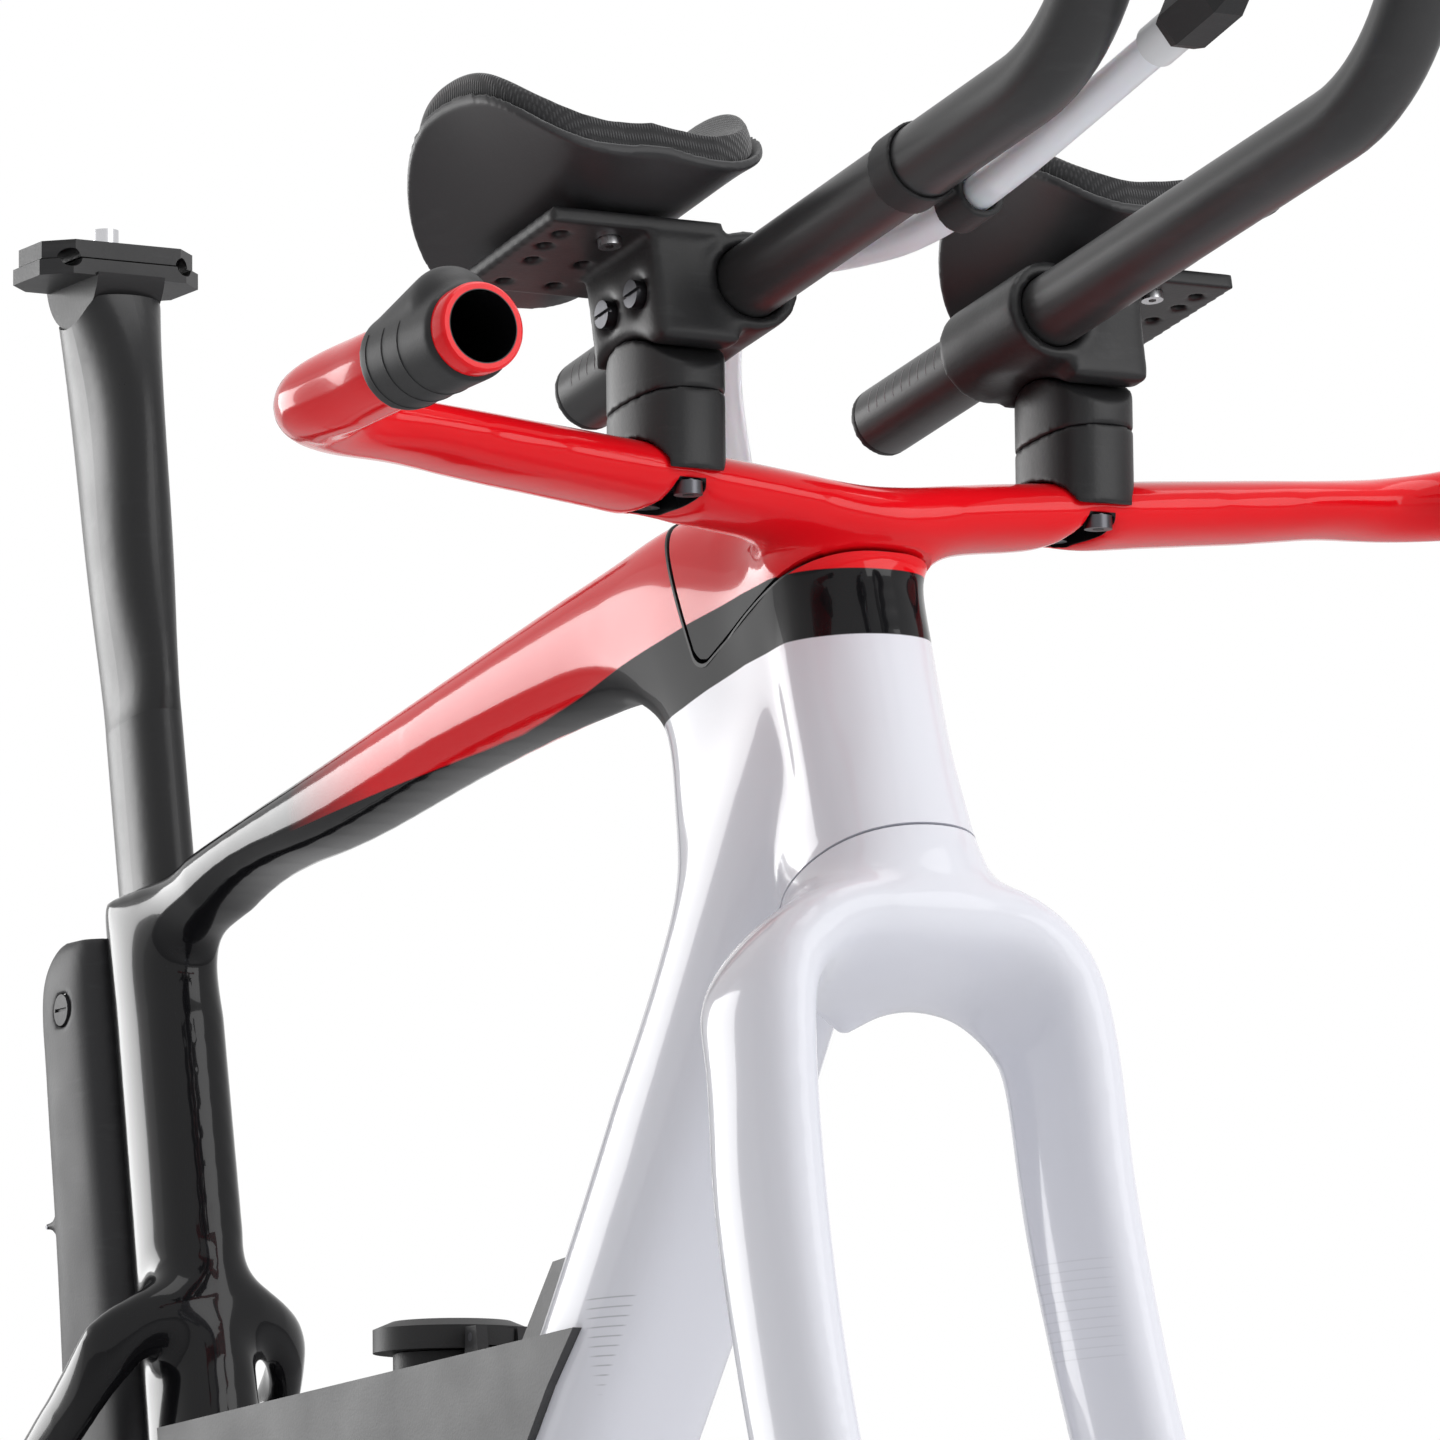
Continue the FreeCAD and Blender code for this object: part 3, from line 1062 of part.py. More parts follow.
def hose_path():
    """Straight runs with a tangent arc at every corner."""
    points = hose_points
    edges = []
    radii = []
    start = points[0]
    for before, corner, after in zip(points, points[1:], points[2:]):
        back = before - corner
        ahead = after - corner
        reach = HOSE_BEND * min(back.Length, ahead.Length)
        half_turn = (math.pi - back.getAngle(ahead)) / 2
        radii.append(reach / math.tan(half_turn))
        back.normalize()
        ahead.normalize()
        inward = back + ahead
        inward.normalize()
        top = corner + inward * (radii[-1] / math.cos(half_turn) - radii[-1])
        edges.append(Part.makeLine(start, corner + back * reach))
        edges.append(Part.Arc(corner + back * reach, top, corner + ahead * reach).toShape())
        start = corner + ahead * reach
    edges.append(Part.makeLine(start, points[-1]))
    print("hose radii", [round(value, 1) for value in radii])
    return Part.Wire(edges)


hose_wire = hose_path()
hose_start = hose_points[1] - hose_points[0]
hose_ring = Part.Wire(Part.Circle(hose_points[0], hose_start, size("hose_radius")).toShape())
hose = node(feature("drink_hose", hose_wire.makePipeShell([hose_ring], True, True)), "drink_hose")
hose_section = math.pi * size("hose_radius") ** 2
print("hose volume over section times length",
      round(hose.Shape.Volume / (hose_section * hose_wire.Length), 4))

hose_end = hose_points[-1]
valve_axis = hose_points[-1] - hose_points[-2]
valve_axis.normalize()
node(rod("hose_coupling", "Sizes.hose_radius + 1.2", "12", hose_end, valve_axis), "hose_coupling")
VALVE = [(12, 7.5), (16, 9.2), (36, 9.2), (42, 7), (52, 6)]


def valve_form():
    """Six-sided bite valve, narrower towards the mouth."""
    side_axis = Y_AXIS
    high_axis = valve_axis.cross(side_axis)
    outlines = []
    for along, radius in VALVE:
        corners = []
        for k in range(6):
            turn = math.pi / 3 * k
            corners.append(hose_end + valve_axis * along + side_axis * (radius * math.cos(turn)) + high_axis * (radius * math.sin(turn)))
        outlines.append(Part.makePolygon(corners + corners[:1]))
    return Part.makeLoft(outlines, True, True)


node(feature("bite_valve", valve_form()), "bite_valve")
clip_centre = (hose_points[8] + hose_points[9]) * 0.5
clip_axis = hose_points[9] - hose_points[8]
clip_axis.normalize()
clip_along = (clip_centre - arm_point(-1, 0, 0, 0)).dot(arm_fore)
strap = arm_rod("clip_strap", "Sizes.extension_radius + 1.2", "12", -1, clip_along - 6, 0, 0, arm_fore)
strap_bore = arm_rod("clip_strap_bore", "Sizes.extension_radius", "40", -1, clip_along - 20, 0, 0, arm_fore)
holder = rod("clip_holder", "Sizes.hose_radius + 2.6", "14", clip_centre - clip_axis * 7, clip_axis)
holder_bore = rod("clip_holder_bore", "Sizes.hose_radius + 0.5", "40", clip_centre - clip_axis * 20,
                  clip_axis)
node(cut("hose_clip", fuse("clip_parts", strap, holder), strap_bore, holder_bore), "hose_clip")

doc.recompute()


def check_document():
    """Stop before anything is written if an object failed or a shape is empty or broken."""
    for item in doc.Objects:
        states = set(item.State)
        if states & {"Invalid", "Error"}:
            raise RuntimeError(f"{item.Label} failed: {sorted(states)}")
    for item in NODES:
        if item.Shape.isNull() or not item.Shape.isValid():
            raise RuntimeError(f"{item.Label} has no valid shape")


check_document()
os.makedirs("parts", exist_ok=True)
for item in NODES:
    item.Shape.exportStep(f"parts/{item.Label}.step")
    print(item.Label, len(item.Shape.Solids), round(item.Shape.Volume / 1000, 2), "cm3")
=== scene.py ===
import json
import math

import bmesh
import bpy
import numpy as np
from mathutils import Matrix, Vector


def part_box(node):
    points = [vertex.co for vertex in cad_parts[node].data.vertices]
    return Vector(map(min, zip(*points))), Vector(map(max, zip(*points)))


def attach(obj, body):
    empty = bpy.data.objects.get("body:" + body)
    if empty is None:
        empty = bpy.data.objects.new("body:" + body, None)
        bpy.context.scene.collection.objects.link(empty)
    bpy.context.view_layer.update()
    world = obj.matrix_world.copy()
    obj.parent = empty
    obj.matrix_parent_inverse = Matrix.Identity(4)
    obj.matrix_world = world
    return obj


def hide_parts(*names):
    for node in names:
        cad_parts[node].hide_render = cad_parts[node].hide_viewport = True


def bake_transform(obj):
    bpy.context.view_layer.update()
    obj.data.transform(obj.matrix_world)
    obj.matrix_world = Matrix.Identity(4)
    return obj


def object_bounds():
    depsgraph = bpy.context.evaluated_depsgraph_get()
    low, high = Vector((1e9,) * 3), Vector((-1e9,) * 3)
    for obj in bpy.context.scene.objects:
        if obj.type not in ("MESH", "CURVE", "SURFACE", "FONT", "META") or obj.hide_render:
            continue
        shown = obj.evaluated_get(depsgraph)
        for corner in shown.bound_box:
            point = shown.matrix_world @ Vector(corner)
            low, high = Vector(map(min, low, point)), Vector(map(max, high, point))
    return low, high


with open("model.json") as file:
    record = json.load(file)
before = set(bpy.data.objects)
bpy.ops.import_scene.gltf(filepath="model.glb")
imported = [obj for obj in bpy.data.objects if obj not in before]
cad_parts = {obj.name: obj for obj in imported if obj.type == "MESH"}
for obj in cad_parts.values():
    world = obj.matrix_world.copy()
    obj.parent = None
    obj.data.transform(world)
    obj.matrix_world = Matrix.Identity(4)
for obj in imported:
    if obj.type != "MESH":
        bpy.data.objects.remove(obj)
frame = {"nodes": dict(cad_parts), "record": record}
CAD_BOX = [list(corner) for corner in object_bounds()]
NODES = frame["nodes"]
MM = 0.001
SIDES = (("right", -1), ("left", 1))


# Camera: in front of the bike on its right, below the bar and looking slightly up

def place_camera():
    turn, rise, roll = (math.radians(a) for a in (29.64, -8.12, -0.64))
    back = Vector((math.cos(turn) * math.cos(rise), -math.sin(turn) * math.cos(rise), math.sin(rise)))
    level = (-back).cross(Vector((0, 0, 1))).normalized()
    upright = level.cross(-back)
    right = level * math.cos(roll) + upright * math.sin(roll)
    up = upright * math.cos(roll) - level * math.sin(roll)
    lens = bpy.data.cameras.new("photo_camera")
    lens.sensor_width = 36
    lens.lens = 216.52
    lens.clip_end = 50
    camera = bpy.data.objects.new("photo_camera", lens)
    bpy.context.scene.collection.objects.link(camera)
    turned = Matrix((right, up, back)).transposed().to_4x4()
    camera.matrix_world = Matrix.Translation((2.6191, -1.3050, 0.1090)) @ turned
    bpy.context.scene.camera = camera


place_camera()


# Reference frames of the steering axis, the seat tube and the armrests, in metres

HEAD = Vector((0.400, 0, 0.515))
HEAD_TILT = math.radians(72.5)
STEER_UP = Vector((-math.cos(HEAD_TILT), 0, math.sin(HEAD_TILT)))
STEER_FORE = Vector((math.sin(HEAD_TILT), 0, math.cos(HEAD_TILT)))
SEAT_TILT = math.radians(79.7)
SEAT_UP = Vector((-math.cos(SEAT_TILT), 0, math.sin(SEAT_TILT)))
SEAT_FORE = Vector((math.sin(SEAT_TILT), 0, math.cos(SEAT_TILT)))
SEAT_TOP = Vector((0.0164 - 0.477 / math.tan(SEAT_TILT), 0, 0.477))
ARM_LEAN = math.radians(10)
ARM_FORE = Vector((math.cos(ARM_LEAN), 0, math.sin(ARM_LEAN)))
ARM_UP = Vector((-math.sin(ARM_LEAN), 0, math.cos(ARM_LEAN)))
ARM_SIDE = 52.4
CUP_BACK = 9
CUP_CENTRE = 39.6
CUP_HALF_LENGTH = 52
CUP_HALF_WIDTH = 45
PAD_HALF_LENGTH = 50
PAD_HALF_WIDTH = 43
HORN_TIPS = [Vector((0.549, sign * 0.2006, 0.554)) for _, sign in SIDES]
HORN_AXIS = Vector((90, 0, 4.2)).normalized()
Y_AXIS = Vector((0, 1, 0))
Z_AXIS = Vector((0, 0, 1))


def steered(fore, side, up):
    """Point given in millimetres from where the stem meets the head tube."""
    return HEAD + STEER_FORE * (fore * MM) + Y_AXIS * (side * MM) + STEER_UP * (up * MM)


def at_arm(sign, along, out, up):
    """Point given in millimetres from the middle of an extension clamp."""
    middle = Vector((0.419, sign * (ARM_SIDE + out) * MM, 0.595))
    return middle + ARM_FORE * (along * MM) + ARM_UP * (up * MM)


# Mesh helpers

def new_piece(name, mesh):
    piece = bpy.data.objects.new(name, mesh)
    bpy.context.scene.collection.objects.link(piece)
    return piece


def points_of(mesh):
    points = np.empty(len(mesh.vertices) * 3, np.float32)
    mesh.vertices.foreach_get("co", points)
    return points.reshape(-1, 3).astype(np.float64)


def set_points(mesh, points):
    mesh.vertices.foreach_set("co", points.astype(np.float32).ravel())
    mesh.update()


def mesh_from(form, name):
    """Mesh of a bmesh, which is freed."""
    mesh = bpy.data.meshes.new(name)
    form.to_mesh(mesh)
    form.free()
    return mesh


def mesh_of(name, points, faces):
    mesh = bpy.data.meshes.new(name)
    mesh.from_pydata([tuple(p) for p in points], [], faces)
    mesh.validate()
    return mesh


def shade_smooth(mesh, sharp=None):
    """Smooth shading, with edges sharper than an angle in degrees kept crisp."""
    mesh.shade_smooth()
    if sharp is not None:
        mesh.set_sharp_from_angle(angle=math.radians(sharp))


def realised(piece):
    """Bakes a piece's modifiers into its mesh."""
    bpy.context.view_layer.update()
    result = bpy.data.meshes.new_from_object(piece.evaluated_get(bpy.context.evaluated_depsgraph_get()))
    piece.modifiers.clear()
    old = piece.data
    piece.data = result
    bpy.data.meshes.remove(old)
    return piece


def joined_copy(name, nodes, extra=()):
    """One mesh from copies of CAD nodes and further meshes, with their loose triangles merged."""
    form = bmesh.new()
    for mesh in [NODES[node].data for node in nodes] + list(extra):
        form.from_mesh(mesh)
    bmesh.ops.remove_doubles(form, verts=form.verts, dist=2e-6)
    mesh = mesh_from(form, name)
    mesh.materials.clear()
    return new_piece(name, mesh)


def rod_mesh(name, base, axis, radius, length, segments=64, radius_end=None):
    """Closed round rod in metres."""
    form = bmesh.new()
    turn = Z_AXIS.rotation_difference(axis).to_matrix().to_4x4()
    place = Matrix.Translation(base + axis.normalized() * (length / 2)) @ turn
    bmesh.ops.create_cone(form, cap_ends=True, segments=segments, radius1=radius,
                          radius2=radius if radius_end is None else radius_end, depth=length, matrix=place)
    bmesh.ops.recalc_face_normals(form, faces=form.faces)
    return mesh_from(form, name)


def turned_mesh(name, profile, origin, axis, across, segments=144):
    """Solid turned about an axis from (radius, height) rows in metres that start and end on the axis."""
    axis = axis.normalized()
    other = axis.cross(across).normalized()
    points = []
    rings = []
    for radius, height in profile:
        if radius == 0:
            rings.append([len(points)])
            points.append(origin + axis * height)
            continue
        rings.append(list(range(len(points), len(points) + segments)))
        for k in range(segments):
            angle = 2 * math.pi * (k + 0.5) / segments
            out = across * (radius * math.cos(angle)) + other * (radius * math.sin(angle))
            points.append(origin + axis * height + out)
    faces = []
    for low, high in zip(rings, rings[1:]):
        for k in range(segments):
            after = (k + 1) % segments
            if len(low) == 1:
                faces.append((low[0], high[k], high[after]))
            elif len(high) == 1:
                faces.append((low[k], high[0], low[after]))
            else:
                faces.append((low[k], high[k], high[after], low[after]))
    mesh = mesh_of(name, points, faces)
    outward(mesh)
    return mesh


def outward(mesh):
    form = bmesh.new()
    form.from_mesh(mesh)
    bmesh.ops.remove_doubles(form, verts=form.verts, dist=1e-6)
    bmesh.ops.recalc_face_normals(form, faces=form.faces)
    form.to_mesh(mesh)
    form.free()


def prism_mesh(name, outline, start, end):
    """Straight solid on a closed outline of points, between two offsets from it."""
    count = len(outline)
    points = [p + start for p in outline] + [p + end for p in outline]
    faces = [tuple(range(count)), tuple(range(2 * count - 1, count - 1, -1))]
    faces += [(k, (k + 1) % count, count + (k + 1) % count, count + k) for k in range(count)]
    mesh = mesh_of(name, points, faces)
    outward(mesh)
    return mesh


def trimmed(piece, mesh, operation):
    """Boolean step of a piece with a closed mesh."""
    tool = new_piece("cutter", mesh)
    step = piece.modifiers.new("step", "BOOLEAN")
    step.operation = operation
    step.solver = "EXACT"
    step.object = tool
    realised(piece)
    bpy.data.objects.remove(tool)
    return piece


def remeshed(piece, voxel):
    step = piece.modifiers.new("voxels", "REMESH")
    step.mode = "VOXEL"
    step.voxel_size = voxel * MM
    step.use_smooth_shade = True
    return realised(piece)


def smoothed(piece, repeats, weight=None):
    """Laplace smoothing of all points, or by a weight for each of them."""
    mesh = piece.data
    points = points_of(mesh)
    count = len(points)
    edges = np.empty(len(mesh.edges) * 2, np.int32)
    mesh.edges.foreach_get("vertices", edges)
    a, b = edges.reshape(-1, 2).T
    degree = np.maximum(np.bincount(a, minlength=count) + np.bincount(b, minlength=count), 1)
    rate = 0.5 if weight is None else 0.5 * weight[:, None]
    for _ in range(repeats):
        mean = np.empty_like(points)
        for k in range(3):
            sums = np.bincount(a, points[b, k], count) + np.bincount(b, points[a, k], count)
            mean[:, k] = sums / degree
        points += rate * (mean - points)
    set_points(mesh, points)
    return piece


def near(piece, spots):
    """Weight of each point near (centre, radius) balls: full within half the radius, gone at the rim."""
    points = points_of(piece.data)
    weight = np.zeros(len(points))
    for centre, radius in spots:
        reach = np.linalg.norm(points - np.array(centre), axis=1) / (radius * MM)
        weight = np.maximum(weight, np.clip(2 - 2 * reach, 0, 1))
    return weight


def islands(piece):
    """Point numbers of each loose part of a piece, largest box first, and all its points."""
    form = bmesh.new()
    form.from_mesh(piece.data)
    form.verts.ensure_lookup_table()
    seen = np.zeros(len(form.verts), bool)
    groups = []
    for start in form.verts:
        if seen[start.index]:
            continue
        seen[start.index] = True
        stack = [start]
        group = []
        while stack:
            vert = stack.pop()
            group.append(vert.index)
            for edge in vert.link_edges:
                other = edge.other_vert(vert)
                if not seen[other.index]:
                    seen[other.index] = True
                    stack.append(other)
        groups.append(group)
    form.free()
    points = np.array([v.co for v in piece.data.vertices])
    groups.sort(key=lambda g: -np.prod(np.ptp(points[g], axis=0)))
    return groups, points


def only_island(piece, group, name):
    """Copy of a piece with one of its loose parts."""
    keep = set(group)
    form = bmesh.new()
    form.from_mesh(piece.data)
    form.verts.ensure_lookup_table()
    bmesh.ops.delete(form, geom=[v for v in form.verts if v.index not in keep], context="VERTS")
    return new_piece(name, mesh_from(form, name))


# Materials: sockets with arithmetic, and one call that makes any other node

class Wire:
    """An output socket of a material, or the result of an expression on them."""

    def __init__(self, finish, socket):
        self.finish = finish
        self.socket = socket

    def math(self, operation, *others, swap=False):
        values = [self, *others]
        if swap:
            values.reverse()
        return self.finish.node("ShaderNodeMath", {"operation": operation}, dict(enumerate(values)))

    def __add__(self, other): return self.math("ADD", other)
    def __radd__(self, other): return self.math("ADD", other)
    def __sub__(self, other): return self.math("SUBTRACT", other)
    def __rsub__(self, other): return self.math("SUBTRACT", other, swap=True)
    def __mul__(self, other): return self.math("MULTIPLY", other)
    def __rmul__(self, other): return self.math("MULTIPLY", other)
    def __truediv__(self, other): return self.math("DIVIDE", other)
    def __rtruediv__(self, other): return self.math("DIVIDE", other, swap=True)
    def __pow__(self, other): return self.math("POWER", other)

    def above(self, edge, blur):
        """1 where this is above an edge, 0 below it, and a short ramp between."""
        return self.finish.clamp((self - edge) / blur + 0.5)


class Finish:
    """A procedural material on object coordinates, in millimetres."""

    def __init__(self, name, **constants):
        self.material = bpy.data.materials.new(name)
        self.material.use_nodes = True
        self.tree = self.material.node_tree
        self.shader = self.tree.nodes["Principled BSDF"]
        for key, value in constants.items():
            self.shader.inputs[key.replace("_", " ")].default_value = value
        self.place = self.node("ShaderNodeTexCoord", out="Object")

    def node(self, kind, settings=None, sockets=None, out=0):
        """Any node: its settings first, then values or links by socket name or number."""
        made = self.tree.nodes.new(kind)
        for key, value in (settings or {}).items():
            if key == "stops":
                ramp = made.color_ramp
                while len(ramp.elements) < len(value):
                    ramp.elements.new(0.5)
                for element, (position, shade) in zip(ramp.elements, value):
                    element.position = position
                    element.color = (shade, shade, shade, 1) if isinstance(shade, float) else (*shade, 1)
            else:
                setattr(made, key, value)
        for key, value in (sockets or {}).items():
            if isinstance(value, Wire):
                self.tree.links.new(value.socket, made.inputs[key])
            else:
                made.inputs[key].default_value = value
        return Wire(self, made.outputs[out])

    def axes(self):
        """X, Y and Z of the surface in millimetres."""
        split = self.node("ShaderNodeSeparateXYZ", None, {0: self.place})
        return [Wire(self, split.socket.node.outputs[k]) * 1000 for k in range(3)]

    def clamp(self, wire):
        return self.node("ShaderNodeClamp", None, {0: wire})

    def noise(self, scale, detail=2.0, stretch=None):
        """Grey noise with so many features to a metre."""
        place = self.place
        if stretch:
            place = self.node("ShaderNodeMapping", None, {"Vector": place, "Scale": stretch})
        return self.node("ShaderNodeTexNoise", None, {"Vector": place, "Scale": scale, "Detail": detail},
                         out="Fac")

    def ramp(self, wire, stops, smooth="LINEAR"):
        made = self.node("ShaderNodeValToRGB", {"stops": stops}, {0: wire}, out=0)
        made.socket.node.color_ramp.interpolation = smooth
        return made

    def mix(self, factor, low, high):
        """Colour between two colours."""
        return self.node("ShaderNodeMix", {"data_type": "RGBA"},
                         {0: factor, 6: low if isinstance(low, Wire) else (*low, 1),
                          7: high if isinstance(high, Wire) else (*high, 1)}, out=2)

    def bump(self, height, strength, distance_mm):
        return self.node("ShaderNodeBump", None,
                         {"Height": height, "Strength": strength, "Distance": distance_mm * MM})

    def feed(self, **inputs):
        for key, value in inputs.items():
            self.tree.links.new(value.socket, self.shader.inputs[key.replace("_", " ")])
        return self.material


RED = (0.86, 0.006, 0.012)
BLACK = (0.006, 0.006, 0.007)
WHITE = (0.80, 0.81, 0.87)


def gloss_paint(name, colour_of):
    """Lacquered paint: colour and gloss by zone, a faint orange-peel and soft changes under a clear coat."""
    finish = Finish(name, Specular_IOR_Level=0.08, Coat_Weight=0.3, Coat_Roughness=0.02, Coat_IOR=1.5)
    colour, dull = colour_of(finish)
    cloud = finish.noise(14, 3)
    peel = finish.noise(420, 1)
    roughness = 0.10 + 0.10 * cloud
    if dull:
        finish.feed(Coat_Weight=0.3 - 0.25 * dull)
        roughness = roughness + 0.4 * dull
    return finish.feed(Base_Color=colour, Roughness=roughness, Normal=finish.bump(peel, 0.03, 0.08))


def level_line(finish, x, rows):
    """Height over x through (x, z) rows in millimetres, as a smooth line."""
    low_x, high_x = rows[0][0], rows[-1][0]
    zs = [z for _, z in rows]
    low_z, high_z = min(zs) - 1, max(zs) + 1
    stops = [((a - low_x) / (high_x - low_x), (z - low_z) / (high_z - low_z)) for a, z in rows]
    part = finish.clamp((x - low_x) / (high_x - low_x))
    return finish.ramp(part, stops, "EASE" if len(rows) < 3 else "LINEAR") * (high_z - low_z) + low_z


RED_LINE = [(20, 478.0), (136, 488.6), (212, 495.5), (282, 503.5), (325, 509.0), (345, 512.0), (377, 515.9),
            (397, 517.4), (430, 518.0)]
WHITE_LINE = [(290, 478.0), (315, 482.7), (338, 486.3), (355, 489.8), (379, 494.0), (407, 496.8),
              (434, 497.4), (450, 497.0)]
STRIPES = dict(low=273.0, high=310.0, rear=283.0, front=327.0, pitch=2.9)


def pin_stripes(z, low, high, pitch):
    """Thin level lines between two heights."""
    phase = ((z - low) / pitch).math("FRACT")
    line = 1 - ((phase - 0.5).math("ABSOLUTE")).above(0.07, 0.05)
    return line * z.above(low, 0.1) * (1 - z.above(high, 0.1))


def frame_colour(finish):
    x, y, z = finish.axes()
    red = z.above(level_line(finish, x, RED_LINE), 0.35) * finish.clamp((x - 58) / 62)
    white_top = 1 - z.above(level_line(finish, x, WHITE_LINE), 0.35)
    ahead = (x - 0.2 * z).above(45, 0.4)
    under = 1 - (z - 0.28 * x).above(398, 0.5)
    white = white_top * ahead * finish.clamp(under + x.above(300, 0.5))
    stripes = pin_stripes(z, STRIPES["low"], STRIPES["high"], STRIPES["pitch"])
    beside = y.math("ABSOLUTE").above(20, 1)
    stripes = stripes * x.above(STRIPES["rear"], 4) * (1 - x.above(STRIPES["front"], 4)) * beside
    tone = finish.mix(finish.noise(6, 2), (0.775, 0.785, 0.85), WHITE)
    tone = finish.mix(stripes * 0.55, tone, (0.30, 0.31, 0.33))
    dark = finish.mix(red, BLACK, RED)
    dull = (1 - white) * (1 - red) * finish.clamp((x - 150) / 140) * (1 - x.above(412, 24))
    return finish.mix(white, dark, tone), dull


def bar_colour(finish):
    x, y, z = finish.axes()
    black = (1 - z.above(level_line(finish, x, RED_LINE), 0.35)) * (1 - x.above(436, 0.5))
    black = black * (1 - y.math("ABSOLUTE").above(31, 0.5))
    beside = y.math("ABSOLUTE") - HORN_TIPS[1].y / MM
    above = z - HORN_TIPS[1].z / MM - (x - HORN_TIPS[1].x / MM) * (HORN_AXIS.z / HORN_AXIS.x)
    # Painted shade: the inside of each horn's bore is painted black.
    bore = 1 - (beside * beside + above * above).math("SQRT").above(10.6, 0.2)
    # Painted shade: the inside of each bolt slot is painted black.
    past = ((x - 420).math("ABSOLUTE") - 13).math("MAXIMUM", 0.0)
    aside = y.math("ABSOLUTE") - 71
    slot = (1 - (past * past + aside * aside).math("SQRT").above(5.35, 0.1)) * (1 - z.above(539, 0.3))
    # The black paint zone, together with the painted shade inside the bores and slots.
    black = finish.clamp(black + bore * x.above(470, 1) + slot)
    tone = finish.mix(finish.noise(9, 2), (0.81, 0.005, 0.011), RED)
    return finish.mix(black, tone, BLACK), black * (1 - x.above(412, 24))


def fork_colour(finish):
    _, y, z = finish.axes()
    stripes = pin_stripes(z, 280.0, 312.0, 2.9) * (1 - y.math("ABSOLUTE").above(47, 2)) * 0.2
    tone = finish.mix(finish.noise(6, 2), (0.775, 0.785, 0.85), WHITE)
    return finish.mix(stripes, tone, (0.45, 0.46, 0.5)), None


def plain(colour):
    def colour_of(finish):
        return finish.mix(finish.noise(20, 3), tuple(c * 0.9 for c in colour), colour), None
    return colour_of


def grained(name, colour, grain, depth, rough, scuff=0.12, shine=0.28):
    """Moulded plastic, cast or anodised surface: fine grain, patchy gloss and faint rub marks."""
    finish = Finish(name, Specular_IOR_Level=shine)
    fine = finish.noise(grain, 2)
    cloud = finish.noise(35, 4)
    rub = finish.ramp(finish.noise(60, 6, (1, 1, 5)), [(0.58, 0.0), (0.72, 1.0)])
    tone = finish.mix(cloud, tuple(c * 0.82 for c in colour), tuple(c * 1.15 for c in colour))
    tone = finish.mix(rub * scuff, tone, tuple(min(1, c * 2.2 + 0.02) for c in colour))
    roughness = rough - 0.08 + 0.16 * cloud - 0.05 * fine
    return finish.feed(Base_Color=tone, Roughness=roughness, Normal=finish.bump(fine, 0.35, depth))


def rubber(name, colour=(0.018, 0.018, 0.019)):
    return grained(name, colour, 1500, 0.10, 0.52, 0.08)


def metal(name, colour, rough):
    """Turned and brushed steel or alloy."""
    finish = Finish(name, Metallic=1.0)
    brush = finish.noise(900, 3, (1, 1, 0.05))
    cloud = finish.noise(80, 3)
    tone = finish.mix(cloud, tuple(c * 0.8 for c in colour), colour)
    return finish.feed(Base_Color=tone, Roughness=rough - 0.06 + 0.14 * brush,
                       Normal=finish.bump(brush, 0.12, 0.02))


def knit(name):
    """Black ribbed textile: a fine knit, its colour lighter where the yarn stands up as a painted highlight
    on the crowns.
    """
    finish = Finish(name, Specular_IOR_Level=0.2, Sheen_Weight=0.5, Sheen_Roughness=0.5)
    weave = finish.node("ShaderNodeTexWave", {"wave_type": "BANDS", "bands_direction": "X"},
                        {"Vector": finish.place, "Scale": 260, "Distortion": 1.5, "Detail": 2,
                         "Detail Scale": 3}, out="Fac")
    cross = finish.node("ShaderNodeTexWave", {"wave_type": "BANDS", "bands_direction": "Y"},
                        {"Vector": finish.place, "Scale": 340, "Distortion": 1.0, "Detail": 2}, out="Fac")
    yarn = weave * cross
    fluff = finish.noise(700, 4)
    # Painted highlight: the colour is lighter where the knit's relief stands up; the fluff adds random tone.
    tone = finish.mix(yarn * 0.7 + fluff * 0.3, (0.006, 0.006, 0.007), (0.034, 0.034, 0.037))
    return finish.feed(Base_Color=tone, Roughness=0.82 + 0.12 * fluff,
                       Normal=finish.bump(yarn + 0.3 * fluff, 0.7, 0.25))


def clear_hose(name):
    finish = Finish(name, Transmission_Weight=0.35, IOR=1.38, Subsurface_Weight=0.15,
                    Specular_IOR_Level=0.4)
    cloud = finish.noise(50, 3)
    tone = finish.mix(cloud, (0.82, 0.84, 0.90), (0.92, 0.93, 0.97))
    return finish.feed(Base_Color=tone, Roughness=0.28 + 0.15 * cloud,
                       Normal=finish.bump(finish.noise(300, 2), 0.05, 0.1))


